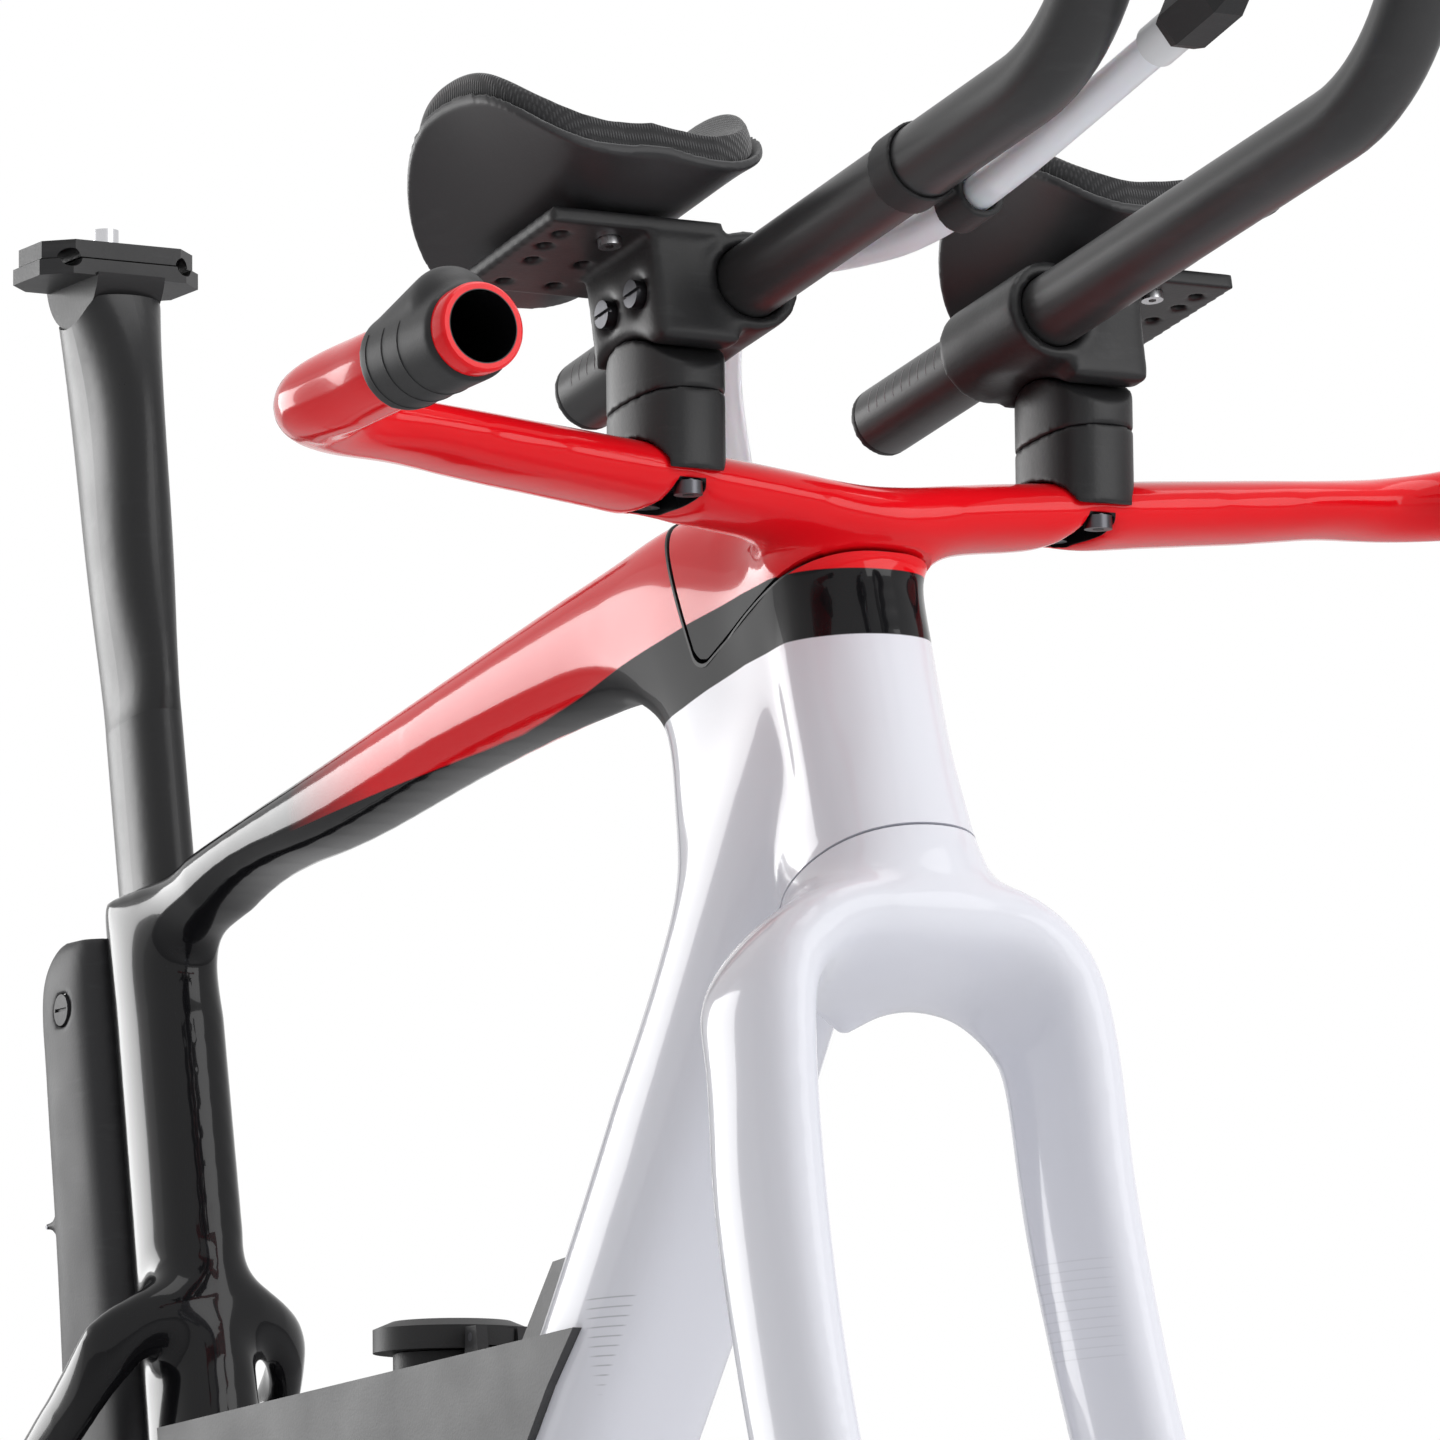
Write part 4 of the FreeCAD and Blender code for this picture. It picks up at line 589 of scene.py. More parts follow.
FINISHES = {
    "frame_paint": gloss_paint("frame_paint", frame_colour),
    "bar_paint": gloss_paint("bar_paint", bar_colour),
    "fork_paint": gloss_paint("fork_paint", fork_colour),
    "stay_paint": gloss_paint("stay_paint", plain(BLACK)),
    "post_finish": grained("post_finish", (0.010, 0.010, 0.011), 900, 0.03, 0.34, 0.05),
    "box_plastic": grained("box_plastic", (0.030, 0.030, 0.032), 1100, 0.12, 0.48, 0.10, 0.18),
    "cover_plastic": grained("cover_plastic", (0.060, 0.060, 0.062), 1100, 0.10, 0.48, 0.08, 0.34),
    "cap_rubber": rubber("cap_rubber"),
    "cast_black": grained("cast_black", (0.017, 0.017, 0.018), 800, 0.12, 0.44, 0.18),
    "cup_plastic": grained("cup_plastic", (0.034, 0.034, 0.036), 1000, 0.06, 0.42, 0.06),
    "extension_satin": grained("extension_satin", (0.030, 0.030, 0.031), 1300, 0.05, 0.40, 0.10, 0.36),
    "pad_fabric": knit("pad_fabric"),
    "steel": metal("steel", (0.62, 0.62, 0.64), 0.28),
    "dark_steel": metal("dark_steel", (0.10, 0.10, 0.11), 0.35),
    "scale_print": grained("scale_print", (0.42, 0.42, 0.43), 600, 0.01, 0.6, 0.0),
    "hose_clear": clear_hose("hose_clear"),
    "hose_fitting": grained("hose_fitting", (0.72, 0.73, 0.75), 500, 0.03, 0.4, 0.0),
}


def finish_with(piece, name):
    piece.data.materials.clear()
    piece.data.materials.append(FINISHES[name])
    return piece


def finish_node(node, name):
    """Material of a CAD node that stays as it is."""
    shown = NODES[node]
    if not shown.material_slots:
        shown.data.materials.append(None)
    for slot in shown.material_slots:
        slot.link = "OBJECT"
        slot.material = FINISHES[name]


# Drink hose: one smooth line from the stem to the bite valve on the right extension

HOSE = [(343, 0, 544), (337.5, -1, 566), (337, -4, 589.6), (346.6, -8, 606.4), (363.4, -13, 616),
        (382.6, -17, 616.5), (412, -23, 612.5), (455, -30, 606), (510, -35, 602), (560, -35, 612),
        (604, -35, 623.5), (636, -35, 632)]
HOSE_RADIUS = 5.25


def hose_line():
    """Points read from the route's own spline."""
    curve = bpy.data.curves.new("hose_route", "CURVE")
    curve.dimensions = "3D"
    curve.resolution_u = 12
    spline = curve.splines.new("NURBS")
    spline.points.add(len(HOSE) - 1)
    for point, place in zip(spline.points, HOSE):
        point.co = (*(c * MM for c in place), 1)
    spline.order_u = 3
    spline.use_endpoint_u = True
    route = new_piece("hose_route", curve)
    bpy.context.view_layer.update()
    line = bpy.data.meshes.new_from_object(route.evaluated_get(bpy.context.evaluated_depsgraph_get()))
    points = [v.co.copy() for v in line.vertices]
    bpy.data.objects.remove(route)
    bpy.data.meshes.remove(line)
    return points


def tube_along(name, points, radius, segments=28):
    """Closed tube round a line of points."""
    rings = []
    verts = []
    hint = Y_AXIS
    for i, point in enumerate(points):
        run = (points[min(i + 1, len(points) - 1)] - points[max(i - 1, 0)]).normalized()
        hint = (hint - run * hint.dot(run)).normalized()
        other = run.cross(hint)
        rings.append(list(range(len(verts), len(verts) + segments)))
        for k in range(segments):
            angle = 2 * math.pi * k / segments
            verts.append(point + hint * (radius * math.cos(angle)) + other * (radius * math.sin(angle)))
    faces = []
    for low, high in zip(rings, rings[1:]):
        for k in range(segments):
            after = (k + 1) % segments
            faces.append((low[k], low[after], high[after], high[k]))
    faces += [tuple(reversed(rings[0])), tuple(rings[-1])]
    mesh = mesh_of(name, verts, faces)
    outward(mesh)
    shade_smooth(mesh, 60)
    return mesh


hose_points = hose_line()
drink_hose = finish_with(new_piece("drink_hose_tube",
                                   tube_along("drink_hose_tube", hose_points, HOSE_RADIUS * MM)),
                         "hose_clear")
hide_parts("drink_hose")


# Frame, bar and fork: one smooth form, parted at the stem pocket and at the crown as the moulds are

BLENDS = [
    (steered(-70, 0, -18), 62), (Vector((0.325, 0, 0.44)), 62), (Vector((0.335, 0, 0.40)), 55),
    (Vector((-0.05, 0, 0.462)), 34), (Vector((0.012, 0, 0.055)), 95),
    (Vector((0.408, 0.034, 0.530)), 40), (Vector((0.408, -0.034, 0.530)), 40),
    (Vector((0.385, 0.024, 0.540)), 34), (Vector((0.385, -0.024, 0.540)), 34),
    (steered(-8, 30, -104), 30), (steered(-8, -30, -104), 30), (steered(-30, 0, -118), 30),
    (steered(-8, 42, -114), 26), (steered(-8, -42, -114), 26),
    (Vector((-0.032, 0.018, 0.330)), 26), (Vector((-0.032, -0.018, 0.330)), 26),
    (Vector((0.386, 0.022, 0.527)), 26), (Vector((0.386, -0.022, 0.527)), 26),
]
ELBOWS = [(Vector((0.432, sign * 0.196, 0.528)), 34) for _, sign in SIDES]


def outline_oval(centre, fore, side, front, half_width, square, segments=96):
    """Closed rounded outline, squarer than an ellipse; sizes in millimetres."""
    points = []
    for k in range(segments):
        angle = 2 * math.pi * (k + 0.5) / segments
        c, s = math.cos(angle), math.sin(angle)
        u = math.copysign(abs(c) ** (2 / square), c) * front
        v = math.copysign(abs(s) ** (2 / square), s) * half_width
        points.append(centre + fore * (u * MM) + side * (v * MM))
    return points


def pocket_rows(inset):
    """Radius and height rows of the stem pocket, in metres; the inset draws it in."""
    corner, flare, slope = 6, 0.2, 0.12
    radius = 59 - inset
    crown = 3 + inset
    floor = crown - slope * (radius - corner)
    rows = [(0, crown), (radius - corner, floor), (radius - 0.72 * corner, floor + 0.05 * corner),
            (radius - 0.25 * corner, floor + 0.3 * corner), (radius, floor + 0.62 * corner),
            (radius + flare * corner, floor + corner),
            (radius + flare * (crown + 120 - floor), crown + 120), (0, crown + 120)]
    return [(r * MM, h * MM) for r, h in rows]


def gap_shell(outer_rows, inner_rows, half_width, name):
    """Thin turned shell between two profiles, kept to the width of the frame."""
    shell = new_piece(name, turned_mesh(name, outer_rows, HEAD, STEER_UP, STEER_FORE))
    trimmed(shell, turned_mesh(f"{name}_inner", inner_rows, HEAD, STEER_UP, STEER_FORE), "DIFFERENCE")
    outline = [HEAD + Vector((x, 0, z)) for x, z in ((-0.3, -0.4), (0.3, -0.4), (0.3, 0.3), (-0.3, 0.3))]
    slab = prism_mesh(f"{name}_slab", outline, Y_AXIS * (-half_width * MM), Y_AXIS * (half_width * MM))
    trimmed(shell, slab, "INTERSECT")
    mesh = shell.data
    bpy.data.objects.remove(shell)
    return mesh


def crown_rows(radius, top):
    return [(0, -0.170), (radius * MM, -0.170), (radius * MM, top * MM), (0, top * MM)]


def joined_meshes(name, meshes):
    form = bmesh.new()
    for mesh in meshes:
        form.from_mesh(mesh)
    return mesh_from(form, name)


def one_form():
    """Frame, stem, bar and fork with their bores filled, as one closed skin."""
    fillers = [rod_mesh("filler", tip, -HORN_AXIS, 0.0116, 0.074) for tip in HORN_TIPS]
    fillers.append(rod_mesh("filler", Vector((0, -0.04325, 0)), Y_AXIS, 0.0212, 0.0865))
    fillers.append(rod_mesh("filler", steered(0, 0, -100), STEER_UP, 0.0240, 0.0120 + 0.088))
    section = outline_oval(SEAT_TOP, SEAT_FORE, Y_AXIS, 21.4, 10.6, 2.6)
    fillers.append(prism_mesh("filler", section, SEAT_UP * -0.1415, SEAT_UP * -0.0002))
    whole = joined_copy("whole", [
        "main_frame", "stem_seal", "base_bar", "fork", "upper_bearing", "lower_bearing", "expander_plug",
        "top_cap", "seatpost_wedge", "wedge_bolt", "seat_stay_right", "seat_stay_left"], fillers)
    remeshed(whole, 2.0)
    groups, _ = islands(whole)
    skin = only_island(whole, groups[0], "one_form")
    bpy.data.objects.remove(whole)
    smoothed(skin, 12)
    smoothed(skin, 70, near(skin, BLENDS))
    smoothed(skin, 16, near(skin, ELBOWS))
    smoothed(skin, 3)
    return skin


def frame_bores():
    rows = [(0, -96), (23.4, -96), (23.4, -78.5), (16.8, -78.5), (16.8, -9.5), (20.9, -9.5), (20.9, 8),
            (0, 8)]
    headset = turned_mesh("headset", [(r * MM, h * MM) for r, h in rows], HEAD, STEER_UP, STEER_FORE, 96)
    section = outline_oval(SEAT_TOP, SEAT_FORE, Y_AXIS, 20.6, 9.8, 2.6)
    return joined_meshes("frame_bores", [
        headset, rod_mesh("shell_bore", Vector((0, -0.06, 0)), Y_AXIS, 0.0205, 0.12, 96),
        prism_mesh("post_slot", section, SEAT_UP * -0.140, SEAT_UP * 0.04)])


BOLT_SEAT = 0.538
SLEEVE_SETBACK = 0.007
SLEEVE_LENGTH = 0.042


def true_horns(bar):
    """Horn ends turned true: round, with a rolled lip, and set in where the grip sleeve sits."""
    rows = [(0, -52), (12.3, -52), (12.3, -7.2), (12.75, -7.0), (12.85, -1.6), (12.6, -0.6), (12.0, -0.1),
            (0, 0)]
    rows = [(r * MM, h * MM) for r, h in rows]
    rooms = [rod_mesh("horn_room", tip - HORN_AXIS * 0.047, HORN_AXIS, 0.022, 0.06, 48) for tip in HORN_TIPS]
    ends = [turned_mesh("horn_end", rows, tip, HORN_AXIS, Y_AXIS, 96) for tip in HORN_TIPS]
    trimmed(bar, joined_meshes("horn_rooms", rooms), "DIFFERENCE")
    trimmed(bar, joined_meshes("horn_ends", ends), "UNION")


def bar_bores():
    meshes = []
    for tip in HORN_TIPS:
        meshes.append(rod_mesh("horn_bore", tip + HORN_AXIS * 0.002, -HORN_AXIS, 0.0103, 0.071, 96))
    meshes.append(rod_mesh("stem_bore", steered(0, 0, -4), STEER_UP, 0.0143, 0.09, 96))
    meshes.append(rod_mesh("port_seat", Vector((0.343, 0, 0.540)), Z_AXIS, 0.011, 0.05, 96))
    for _, sign in SIDES:
        half, radius = 13, 5.2
        outline = []
        for k in range(48):
            angle = 2 * math.pi * (k + 0.5) / 48
            shift = half if math.cos(angle) > 0 else -half
            outline.append(Vector((0.420 + (shift + radius * math.cos(angle)) * MM,
                                   sign * 0.071 + radius * math.sin(angle) * MM, BOLT_SEAT)))
        meshes.append(prism_mesh("bolt_slot", outline, Z_AXIS * 0, Z_AXIS * -0.05))
    return joined_meshes("bar_bores", meshes)


def parted_forms():
    """The one form parted into frame, bar and fork, with their bores cut."""
    skin = one_form()
    trimmed(skin, gap_shell(pocket_rows(0), pocket_rows(1.7), 32, "stem_gap"), "DIFFERENCE")
    trimmed(skin, gap_shell(crown_rows(49, -88.5), crown_rows(47.5, -89.4), 34, "crown_gap"), "DIFFERENCE")
    groups, points = islands(skin)
    forms = {}
    for group in groups[:4]:
        low, high = points[group].min(0), points[group].max(0)
        if low[0] < 0.1 and "frame" not in forms:
            forms["frame"] = only_island(skin, group, "frame_moulding")
        elif high[1] > 0.15 and "bar" not in forms:
            forms["bar"] = only_island(skin, group, "bar_moulding")
        elif low[2] < 0.2 and "fork" not in forms:
            forms["fork"] = only_island(skin, group, "fork_moulding")
    bpy.data.objects.remove(skin)
    trimmed(forms["frame"], frame_bores(), "DIFFERENCE")
    true_horns(forms["bar"])
    trimmed(forms["bar"], bar_bores(), "DIFFERENCE")
    rows = [(0, -105), (16.9, -105), (16.9, -78.6), (14.3, -78.6), (14.3, 24), (11.6, 24), (11.6, -86),
            (0, -86)]
    steerer = turned_mesh("steerer", [(r * MM, h * MM) for r, h in rows], HEAD, STEER_UP, STEER_FORE, 72)
    trimmed(forms["fork"], steerer, "UNION")
    for form in forms.values():
        shade_smooth(form.data, 38)
    return forms


BODY_OF = {node: body for body, nodes in frame["record"]["behaviour"]["bodies"].items() for node in nodes}


def set_on(piece, nodes, replace=True):
    """A finished piece rides with a CAD node, and stands for it and others where it has their shape."""
    nodes = [nodes] if isinstance(nodes, str) else nodes
    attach(piece, BODY_OF[nodes[0]])
    if replace:
        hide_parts(*nodes)
    return piece


forms = parted_forms()
set_on(finish_with(forms["frame"], "frame_paint"), ["main_frame", "seat_stay_right", "seat_stay_left"])
set_on(finish_with(forms["bar"], "bar_paint"), "base_bar")
set_on(finish_with(forms["fork"], "fork_paint"), "fork")


# Small parts cast or moulded with rounded edges

def cup_round(f):
    """Half width of the cups' rounded outline at a place from the rear, -1, to the front, 1."""
    power = 2.5 if f < 0 else 4.5
    return (1 - min(abs(f), 0.999) ** power) ** (1 / power)


def cup_outline(sign):
    """Upright prism round a cup that rounds its corners."""
    forward = [math.sin(math.pi * (k / 40 - 0.5)) for k in range(41)]
    sides = [(f, cup_round(f)) for f in forward] + [(f, -cup_round(f)) for f in reversed(forward)]
    length, width = CUP_HALF_LENGTH + 0.2, CUP_HALF_WIDTH + 0.2
    outline = [at_arm(sign, length * f - CUP_BACK, CUP_CENTRE + width * a, 0) for f, a in sides]
    return prism_mesh("cup_outline", outline, ARM_UP * 0.005, ARM_UP * 0.12)


def softened(node, voxel, repeats, finish, slot):
    """Copy of a CAD node with its edges rounded as a casting's are."""
    piece = joined_copy(f"{node}_cast", [node])
    if node.startswith("armrest_cup"):
        trimmed(piece, cup_outline(dict(SIDES)[node.split("_")[-1]]), "INTERSECT")
    remeshed(piece, voxel)
    smoothed(piece, repeats)
    shade_smooth(piece.data)
    return set_on(finish_with(piece, finish), node)


SOFT_EDGES = [
    ("rear_box_shell", 1.5, 2, "box_plastic", "box_plastic"),
    ("rear_box_door", 1.2, 2, "box_plastic", "box_plastic"),
    ("hose_clip", 0.5, 3, "cap_rubber", "cap_rubber"),
]
for side, _ in SIDES:
    SOFT_EDGES += [
        (f"armrest_bracket_{side}", 0.9, 5, "cast_black", "cast_black"),
        (f"armrest_cup_{side}", 0.6, 9, "cup_plastic", "cup_plastic"),
        (f"extension_plug_{side}", 0.6, 6, "cap_rubber", "cap_rubber"),
        (f"riser_lower_{side}", 0.7, 4, "cast_black", "cast_black"),
        (f"riser_upper_{side}", 0.7, 4, "cast_black", "cast_black"),
    ]
for row in SOFT_EDGES:
    made = softened(*row)
    if row[0].startswith("armrest_bracket"):
        sign = dict(SIDES)[row[0].split("_")[-1]]
        smoothed(made, 40, near(made, [(at_arm(sign, 4, 24, -12), 34), (at_arm(sign, 4, 2, -8), 22)]))
        trimmed(made, rod_mesh("clamp_bore", at_arm(sign, -60, 0, 0), ARM_FORE, 0.0114, 0.12, 96),
                "DIFFERENCE")
        shade_smooth(made.data, 40)


# Turn latch, its face flush with the box

latch = joined_copy("box_latch_flush", ["box_latch"])
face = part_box("rear_box_shell")[0].y
for vert in latch.data.vertices:
    if vert.co.y < face:
        vert.co.y += 0.9 * MM
set_on(finish_with(latch, "box_plastic"), "box_latch")


# Grip sleeves: rubber pulled over the horn and over a plug on top of it, so that it bulges towards the tip

def grip_sleeve(side, tip):
    front = tip - HORN_AXIS * SLEEVE_SETBACK
    rear = front - HORN_AXIS * SLEEVE_LENGTH
    bulb = front - HORN_AXIS * 0.0130 + Z_AXIS * 0.0088
    form = bmesh.new()
    bmesh.ops.create_uvsphere(form, u_segments=48, v_segments=32, radius=0.0124,
                              matrix=Matrix.Translation(bulb))
    ball = mesh_from(form, "bulb")
    run = rear + Z_AXIS * 0.0005 - bulb
    parts = [rod_mesh("tube", front, -HORN_AXIS, 0.0140, SLEEVE_LENGTH), ball,
             rod_mesh("flow", bulb, run, 0.0124, run.length * 0.97, 48, 0.0130)]
    sleeve = new_piece(f"grip_sleeve_{side}", joined_meshes(f"grip_sleeve_{side}", parts))
    remeshed(sleeve, 0.8)
    smoothed(sleeve, 10)
    trimmed(sleeve, rod_mesh("sleeve_bore", front + HORN_AXIS * 0.01, -HORN_AXIS, 0.0124, 0.07, 96),
            "DIFFERENCE")
    shade_smooth(sleeve.data, 40)
    return set_on(finish_with(sleeve, "cap_rubber"), f"bar_tape_{side}")


for (side, _), tip in zip(SIDES, HORN_TIPS):
    grip_sleeve(side, tip)

PLAIN_NODES = {
    "stay_paint": ["chain_stay_right", "chain_stay_left"],
    "post_finish": ["seatpost"],
    "cap_rubber": ["stem_seal", "hose_port", "fill_cap", "bite_valve"],
    "box_plastic": ["fill_neck"],
    "cover_plastic": ["frame_box", "box_cover_right", "box_cover_left"],
    "cast_black": ["seatpost_wedge", "expander_plug", "top_cap", "compression_ring", "saddle_clamp_lower",
                   "saddle_clamp_upper"],
    "dark_steel": ["derailleur_hanger", "clamp_nuts_right", "clamp_nuts_left", "riser_bolts",
                   "door_hinge_pin", "cap_hinge_pin"],
    "steel": ["upper_bearing", "lower_bearing", "wedge_bolt", "preload_bolt", "cup_screws_right",
              "cup_screws_left", "saddle_nut", "saddle_bolt"],
    "extension_satin": ["extension_right", "extension_left"],
    "hose_fitting": ["hose_coupling"],
}
for finish_name, nodes in PLAIN_NODES.items():
    for node in nodes:
        finish_node(node, finish_name)


# Small parts that repeat: marks and rings along a tube, and thin black hexagons on screw heads as painted
# shade of their sockets

def node_tree(name, inputs):
    """Geometry tree with named inputs; gives the tree, its inputs and a call that adds a node."""
    tree = bpy.data.node_groups.new(name, "GeometryNodeTree")
    tree.interface.new_socket("Geometry", in_out="OUTPUT", socket_type="NodeSocketGeometry")
    for label, kind in inputs:
        tree.interface.new_socket(label, in_out="INPUT", socket_type=f"NodeSocket{kind}")
    given = tree.nodes.new("NodeGroupInput").outputs

    def add(kind, settings=None, sockets=None):
        made = tree.nodes.new(kind)
        for key, value in (settings or {}).items():
            setattr(made, key, value)
        for key, value in (sockets or {}).items():
            if isinstance(value, bpy.types.NodeSocket):
                tree.links.new(value, made.inputs[key])
            else:
                made.inputs[key].default_value = value
        return made.outputs

    return tree, given, add


def finish_tree(tree, add, shape, material):
    real = add("GeometryNodeRealizeInstances", None, {"Geometry": shape})[0]
    dressed = add("GeometryNodeSetMaterial", None, {"Geometry": real, "Material": material})[0]
    end = tree.nodes.new("NodeGroupOutput")
    tree.links.new(dressed, end.inputs[0])
    return tree


def rings_along():
    """Thin rings or part rings set in a row."""
    tree, given, add = node_tree("rings_along", [
        ("Count", "Int"), ("Start", "Vector"), ("Step", "Vector"), ("Turn", "Vector"), ("Radius", "Float"),
        ("First angle", "Float"), ("Sweep", "Float"), ("Thickness", "Float"), ("Finish", "Material")])
    row = add("GeometryNodeMeshLine", {"mode": "OFFSET"},
              {"Count": given["Count"], "Start Location": given["Start"], "Offset": given["Step"]})[0]
    arc = add("GeometryNodeCurveArc", {"mode": "RADIUS"},
              {"Resolution": 48, "Radius": given["Radius"], "Start Angle": given["First angle"],
               "Sweep Angle": given["Sweep"]})[0]
    wire = add("GeometryNodeCurvePrimitiveCircle", {"mode": "RADIUS"},
               {"Resolution": 8, "Radius": given["Thickness"]})[0]
    ring = add("GeometryNodeCurveToMesh", None, {"Curve": arc, "Profile Curve": wire, "Fill Caps": True})[0]
    set_out = add("GeometryNodeInstanceOnPoints", None,
                  {"Points": row, "Instance": ring, "Rotation": given["Turn"]})[0]
    return finish_tree(tree, add, set_out, given["Finish"])


def socket_shades_at_spots():
    """Thin six-sided discs on a row of screw heads, given a dark finish as painted shade of their sockets;
    the spots are the piece's own points.
    """
    tree, given, add = node_tree("socket_shades_at_spots", [
        ("Geometry", "Geometry"), ("Turn", "Vector"), ("Radius", "Float"), ("Depth", "Float"),
        ("Finish", "Material")])
    hexagon = add("GeometryNodeMeshCylinder", {"fill_type": "NGON"},
                  {"Vertices": 6, "Radius": given["Radius"], "Depth": given["Depth"]})[0]
    set_out = add("GeometryNodeInstanceOnPoints", None,
                  {"Points": given["Geometry"], "Instance": hexagon, "Rotation": given["Turn"]})[0]
    return finish_tree(tree, add, set_out, given["Finish"])


RINGS = rings_along()
SOCKET_SHADES = socket_shades_at_spots()


def grown(name, tree, values, points=()):
    """Plain mesh piece made by a geometry tree."""
    piece = new_piece(name, mesh_of(name, points, []))
    step = piece.modifiers.new("grow", "NODES")
    step.node_group = tree
    for item in tree.interface.items_tree:
        if item.in_out == "INPUT" and item.name in values:
            step[item.identifier] = values[item.name]
    realised(piece)
    shade_smooth(piece.data, 40)
    return piece


def turn_to(axis, side):
    """Angles that turn Z to an axis and X towards a side."""
    axis = axis.normalized()
    first = (side - axis * side.dot(axis)).normalized()
    return tuple(Matrix((first, axis.cross(first), axis)).transposed().to_euler())


for (side, sign), tip in zip(SIDES, HORN_TIPS):
    start = tip - HORN_AXIS * (SLEEVE_SETBACK + 0.018)
    rings = grown(f"grip_rings_{side}", RINGS, {
        "Count": 3, "Start": tuple(start), "Step": tuple(HORN_AXIS * -0.0095),
        "Turn": turn_to(HORN_AXIS, -Z_AXIS), "Radius": 0.01395, "First angle": -2.0, "Sweep": 4.0,
        "Thickness": 0.00022, "Finish": FINISHES["cap_rubber"]})
    set_on(rings, f"bar_tape_{side}", replace=False)
    marks = grown(f"scale_marks_{side}", RINGS, {
        "Count": 11, "Start": tuple(at_arm(sign, -72, 0, 0)), "Step": tuple(ARM_FORE * 0.005),
        "Turn": turn_to(ARM_FORE, Vector((0, -1, 0.25))), "Radius": 0.01110, "First angle": -0.35,
        "Sweep": 0.7, "Thickness": 0.0001, "Finish": FINISHES["scale_print"]})
    set_on(marks, f"extension_{side}", replace=False)


def head_spots(node, up):
    """Middle of the lowest face of each loose screw in a node."""
    form = joined_copy("screws", [node])
    groups, points = islands(form)
    bpy.data.objects.remove(form)
    spots = []
    for group in groups:
        own = points[group]
        level = own @ np.array(up)
        face = own[level < level.min() + 2e-4]
        spots.append(Vector(0.5 * (face.min(0) + face.max(0))))
    return spots


SCREWS = [("riser_bolts", Z_AXIS, 1.9), ("cup_screws_right", ARM_UP, 1.3), ("cup_screws_left", ARM_UP, 1.3)]
for node, up, radius in SCREWS:
    # Each screw head gets a thin black hexagon: painted shade where its six-sided socket is.
    sockets = grown(f"{node}_sockets", SOCKET_SHADES, {
        "Turn": turn_to(up, Y_AXIS), "Radius": radius * MM, "Depth": 0.0002,
        "Finish": FINISHES["cap_rubber"]}, head_spots(node, up))
    set_on(sockets, node, replace=False)


# Armrest pads: a crowned foam pad in ribbed textile, puffed up from its glued underside

CUP_ROWS = [(-1, 0.80), (-0.6, 0.96), (-0.2, 1.0), (0.2, 1.0), (0.6, 0.99), (1, 0.92)]
CUP_SHARE = np.polyfit(*zip(*CUP_ROWS), 5)
PAD_BASE = 17.2
PAD_SEAT = 3.42
PAD_RIM = 7.4
PAD_LOFT = 10.4
PAD_CHANNELS = 6


def cup_share(f):
    return min(float(np.polyval(CUP_SHARE, f)), cup_round(f))


def cup_level(a, f):
    """Height of the cup's surface in millimetres, across and forward from -1 to 1."""
    height, rise = (37, 2.3) if a > 0 else (32, 3.2)
    wing = height * abs(a) ** rise * (1 - 0.45 * f * f)
    flare = 11 * max(f, 0) ** 2.5 * (1 - abs(a))
    return wing + flare


def cup_surface(a, f, step=0.25):
    """The cup's surface, drawn smooth through those heights."""
    bend = (cup_level(a - step, f) - 2 * cup_level(a, f) + cup_level(a + step, f)) / 6
    return cup_level(a, f) + bend * min((1 - abs(a)) / step, 1)


def pad_mesh(name, sign, across=56, along=56):
    """Closed pad on the cup: a flat underside, full edges and a crowned top."""
    points = []
    rows = {}
    for layer in (0, 1):
        for i in range(along + 1):
            for j in range(across + 1):
                f, a = 0.99 * math.sin(math.pi * (i / along - 0.5)), (2 * j / across - 1)
                rim = max(abs(f), abs(a))
                round_off = (1 - rim ** 10) ** 0.5
                share = cup_share(f)
                up = cup_surface(a * share, f)
                lift = PAD_SEAT
                if layer:
                    lift += PAD_RIM + (PAD_LOFT - PAD_RIM) * round_off
                    draw = 0.978
                else:
                    draw = 1.0
                rows[layer, i, j] = len(points)
                along_arm = PAD_HALF_LENGTH * f * draw - CUP_BACK
                out = CUP_CENTRE + PAD_HALF_WIDTH * share * a * draw
                points.append(at_arm(sign, along_arm, out, PAD_BASE + up + lift))
    faces = []
    for i in range(along):
        for j in range(across):
            low = [rows[0, i, j], rows[0, i, j + 1], rows[0, i + 1, j + 1], rows[0, i + 1, j]]
            high = [rows[1, i, j], rows[1, i + 1, j], rows[1, i + 1, j + 1], rows[1, i, j + 1]]
            faces += [tuple(low), tuple(high)]
    for i in range(along):
        for j in (0, across):
            faces.append((rows[0, i, j], rows[0, i + 1, j], rows[1, i + 1, j], rows[1, i, j]))
    for j in range(across):
        for i in (0, along):
            faces.append((rows[0, i, j], rows[0, i, j + 1], rows[1, i, j + 1], rows[1, i, j]))
    mesh = mesh_of(name, points, faces)
    outward(mesh)
    return mesh, (along + 1) * (across + 1)


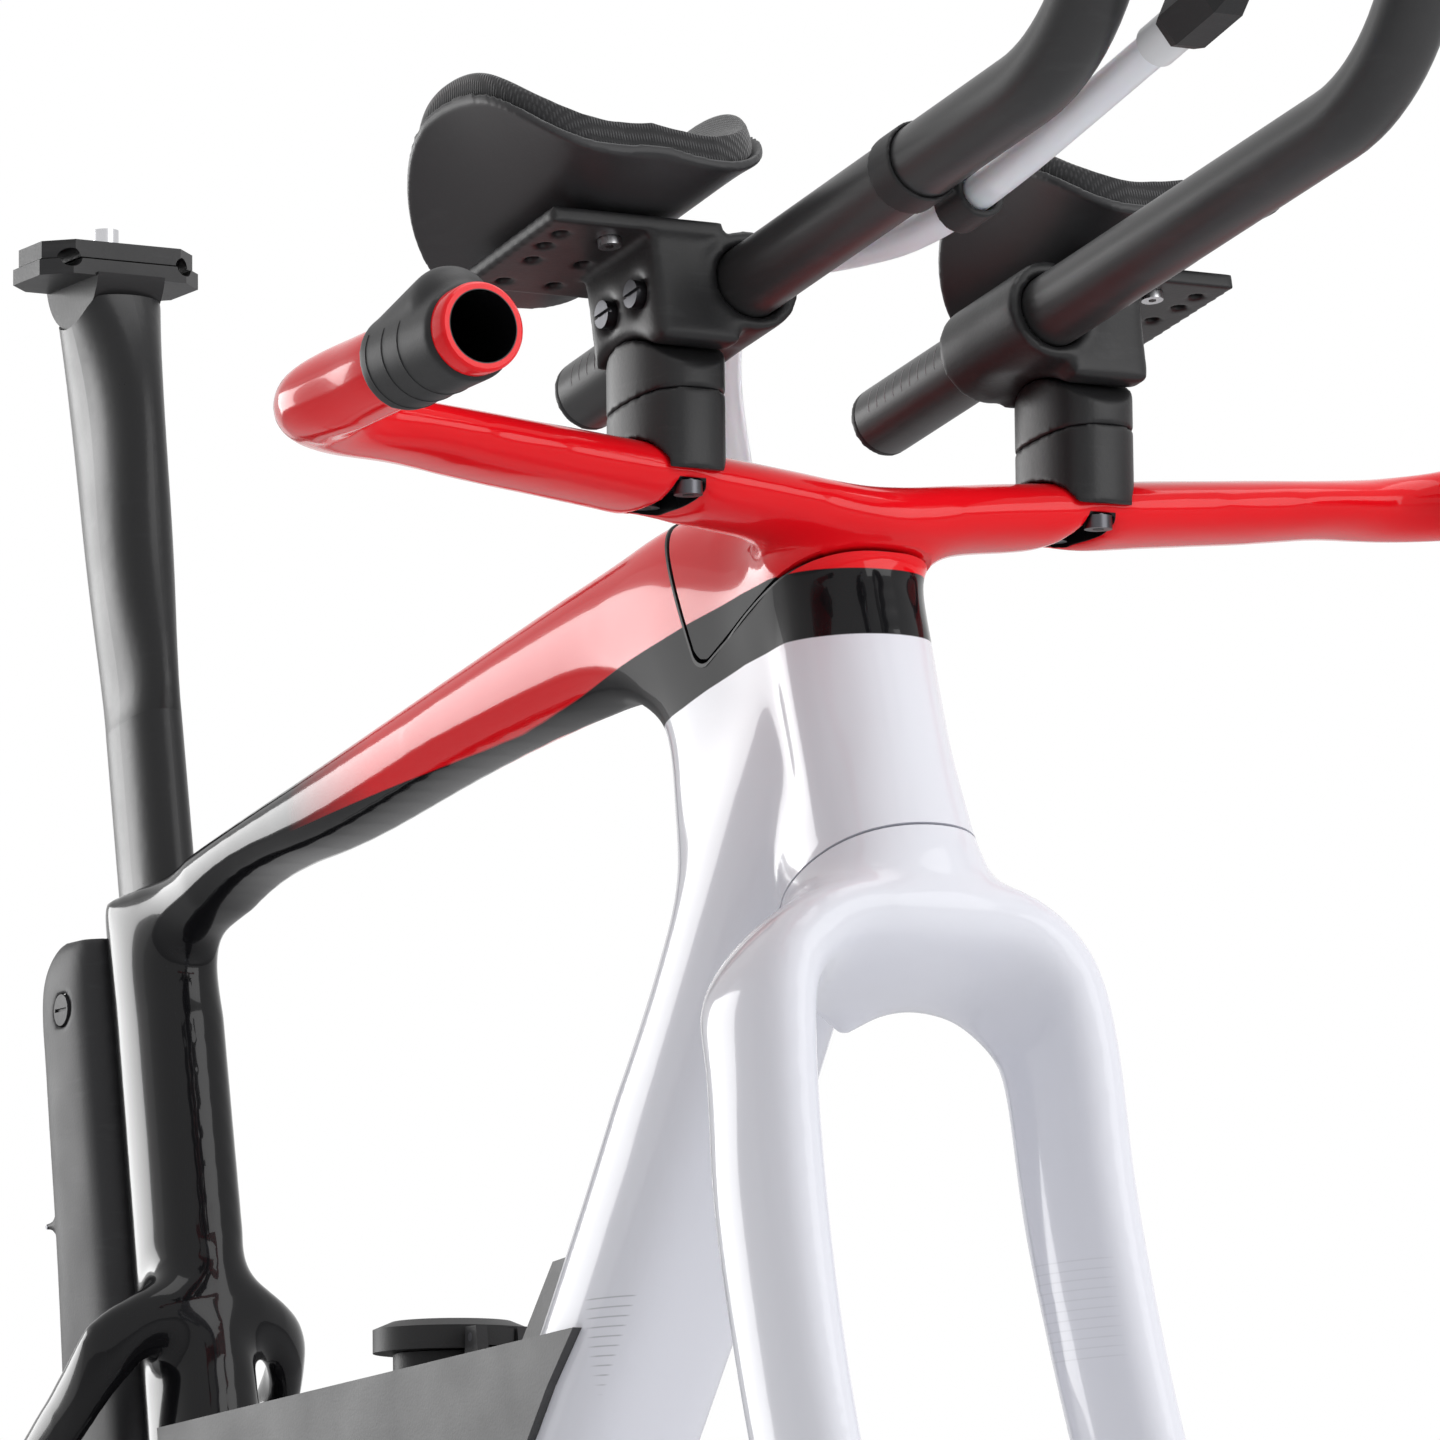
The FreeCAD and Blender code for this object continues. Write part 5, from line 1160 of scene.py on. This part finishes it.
def puffed(piece, held, cap):
    """Cloth run under light pressure; the first points are held, and a cap in mm limits the others."""
    rest = points_of(piece.data)
    group = piece.vertex_groups.new(name="glued")
    group.add(list(range(held)), 1.0, "REPLACE")
    cloth = piece.modifiers.new("cloth", "CLOTH")
    cloth.settings.quality = 4
    cloth.settings.mass = 0.2
    cloth.settings.use_pressure = True
    cloth.settings.uniform_pressure_force = 4
    cloth.settings.tension_stiffness = 12
    cloth.settings.bending_stiffness = 0.6
    cloth.settings.effector_weights.gravity = 0
    cloth.settings.vertex_group_mass = "glued"
    cloth.collision_settings.use_collision = False
    cloth.point_cache.frame_start = 1
    cloth.point_cache.frame_end = 20
    scene = bpy.context.scene
    for step in range(1, 21):
        scene.frame_set(step)
    realised(piece)
    scene.frame_set(1)
    moved = points_of(piece.data) - rest
    length = np.linalg.norm(moved, axis=1, keepdims=True)
    rest += moved * np.minimum(1, cap * MM / np.maximum(length, 1e-9))
    set_points(piece.data, rest)
    piece.vertex_groups.clear()
    return piece


def ribbed(piece, sign, depth):
    """Sewn channels along the forearm, pressed into the top of the pad."""
    step = piece.modifiers.new("finer", "SUBSURF")
    step.levels = 1
    realised(piece)
    mesh = piece.data
    points = points_of(mesh)
    normals = np.empty(len(mesh.vertices) * 3, np.float32)
    mesh.vertex_normals.foreach_get("vector", normals)
    normals = normals.reshape(-1, 3)
    across = (points[:, 1] * sign / MM - ARM_SIDE - CUP_CENTRE) / PAD_HALF_WIDTH
    channel = -(0.5 + 0.5 * np.cos(np.pi * across * PAD_CHANNELS)) ** 5
    middle = np.array(at_arm(sign, -CUP_BACK, 0, 0))
    forward = (points - middle) @ np.array(ARM_FORE) / (PAD_HALF_LENGTH * MM)
    inside = np.clip(6 * (0.94 - np.maximum(np.abs(across), np.abs(forward))), 0, 1)
    points += normals * (channel * inside * depth * MM)[:, None] * (normals @ np.array(ARM_UP) > 0)[:, None]
    set_points(mesh, points)
    return piece


for side, sign in SIDES:
    mesh, held = pad_mesh(f"armrest_pad_{side}_foam", sign)
    pad = new_piece(f"armrest_pad_{side}_foam", mesh)
    puffed(pad, held, 1.6)
    ribbed(pad, sign, 0.7)
    shade_smooth(pad.data)
    set_on(finish_with(pad, "pad_fabric"), f"armrest_pad_{side}")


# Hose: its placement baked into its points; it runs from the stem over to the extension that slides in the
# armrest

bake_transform(drink_hose)


# Studio: pale floor, white surround, panel and card behind on the right, light above and fill in front

def area_light(name, place, aim, size, strength):
    """Square lamp with a given brightness of its face."""
    lamp = bpy.data.lights.new(name, "AREA")
    lamp.shape = "RECTANGLE"
    lamp.size, lamp.size_y = size
    lamp.energy = strength * math.pi * size[0] * size[1]
    made = bpy.data.objects.new(name, lamp)
    bpy.context.scene.collection.objects.link(made)
    away = (Vector(place) - Vector(aim)).normalized()
    made.visible_camera = False
    made.matrix_world = Matrix.Translation(place) @ away.to_track_quat("Z", "Y").to_matrix().to_4x4()
    return made


def white_surround(ambient):
    world = bpy.data.worlds.new("studio")
    world.use_nodes = True
    bpy.context.scene.world = world
    nodes, links = world.node_tree.nodes, world.node_tree.links
    path = nodes.new("ShaderNodeLightPath")
    seen = None
    for ray in ("Is Camera Ray", "Is Glossy Ray", "Is Transmission Ray"):
        if seen is None:
            seen = path.outputs[ray]
            continue
        either = nodes.new("ShaderNodeMath")
        either.operation = "MAXIMUM"
        links.new(seen, either.inputs[0])
        links.new(path.outputs[ray], either.inputs[1])
        seen = either.outputs[0]
    level = nodes.new("ShaderNodeMapRange")
    links.new(seen, level.inputs["Value"])
    level.inputs["To Min"].default_value = ambient
    level.inputs["To Max"].default_value = 1.0
    links.new(level.outputs[0], nodes["Background"].inputs["Strength"])
    nodes["Background"].inputs["Color"].default_value = (1, 1, 1, 1)


def pale_floor():
    finish = Finish("studio_floor", Specular_IOR_Level=0.1)
    tone = finish.mix(finish.noise(1.5, 2), (0.84, 0.84, 0.85), (0.87, 0.87, 0.88))
    finish.feed(Base_Color=tone, Roughness=0.75 + 0.1 * finish.noise(40, 3))
    half = 6.0
    low = CAD_BOX[0][2] - 0.002
    corners = [(x * half, y * half, low) for x, y in ((-1, -1), (1, -1), (1, 1), (-1, 1))]
    floor = new_piece("studio_floor", mesh_of("studio_floor", corners, [(0, 1, 2, 3)]))
    floor.data.materials.append(finish.material)


white_surround(0.5)
pale_floor()
MIDDLE = (0.25, 0, 0.42)
area_light("rear_panel", (-2.1, -1.55, 0.85), MIDDLE, (1.5, 1.3), 0.3)
card = area_light("reflector_card", (-2.25, -0.95, 0.76), MIDDLE, (1.1, 0.9), 6.5)
card.visible_diffuse = False
area_light("overhead", (0.5, 0.1, 2.3), MIDDLE, (1.8, 1.2), 2.6)
area_light("front_fill", (2.5, 0.9, 1.2), MIDDLE, (1.6, 1.6), 3.2)

bpy.context.scene.view_settings.view_transform = "Standard"
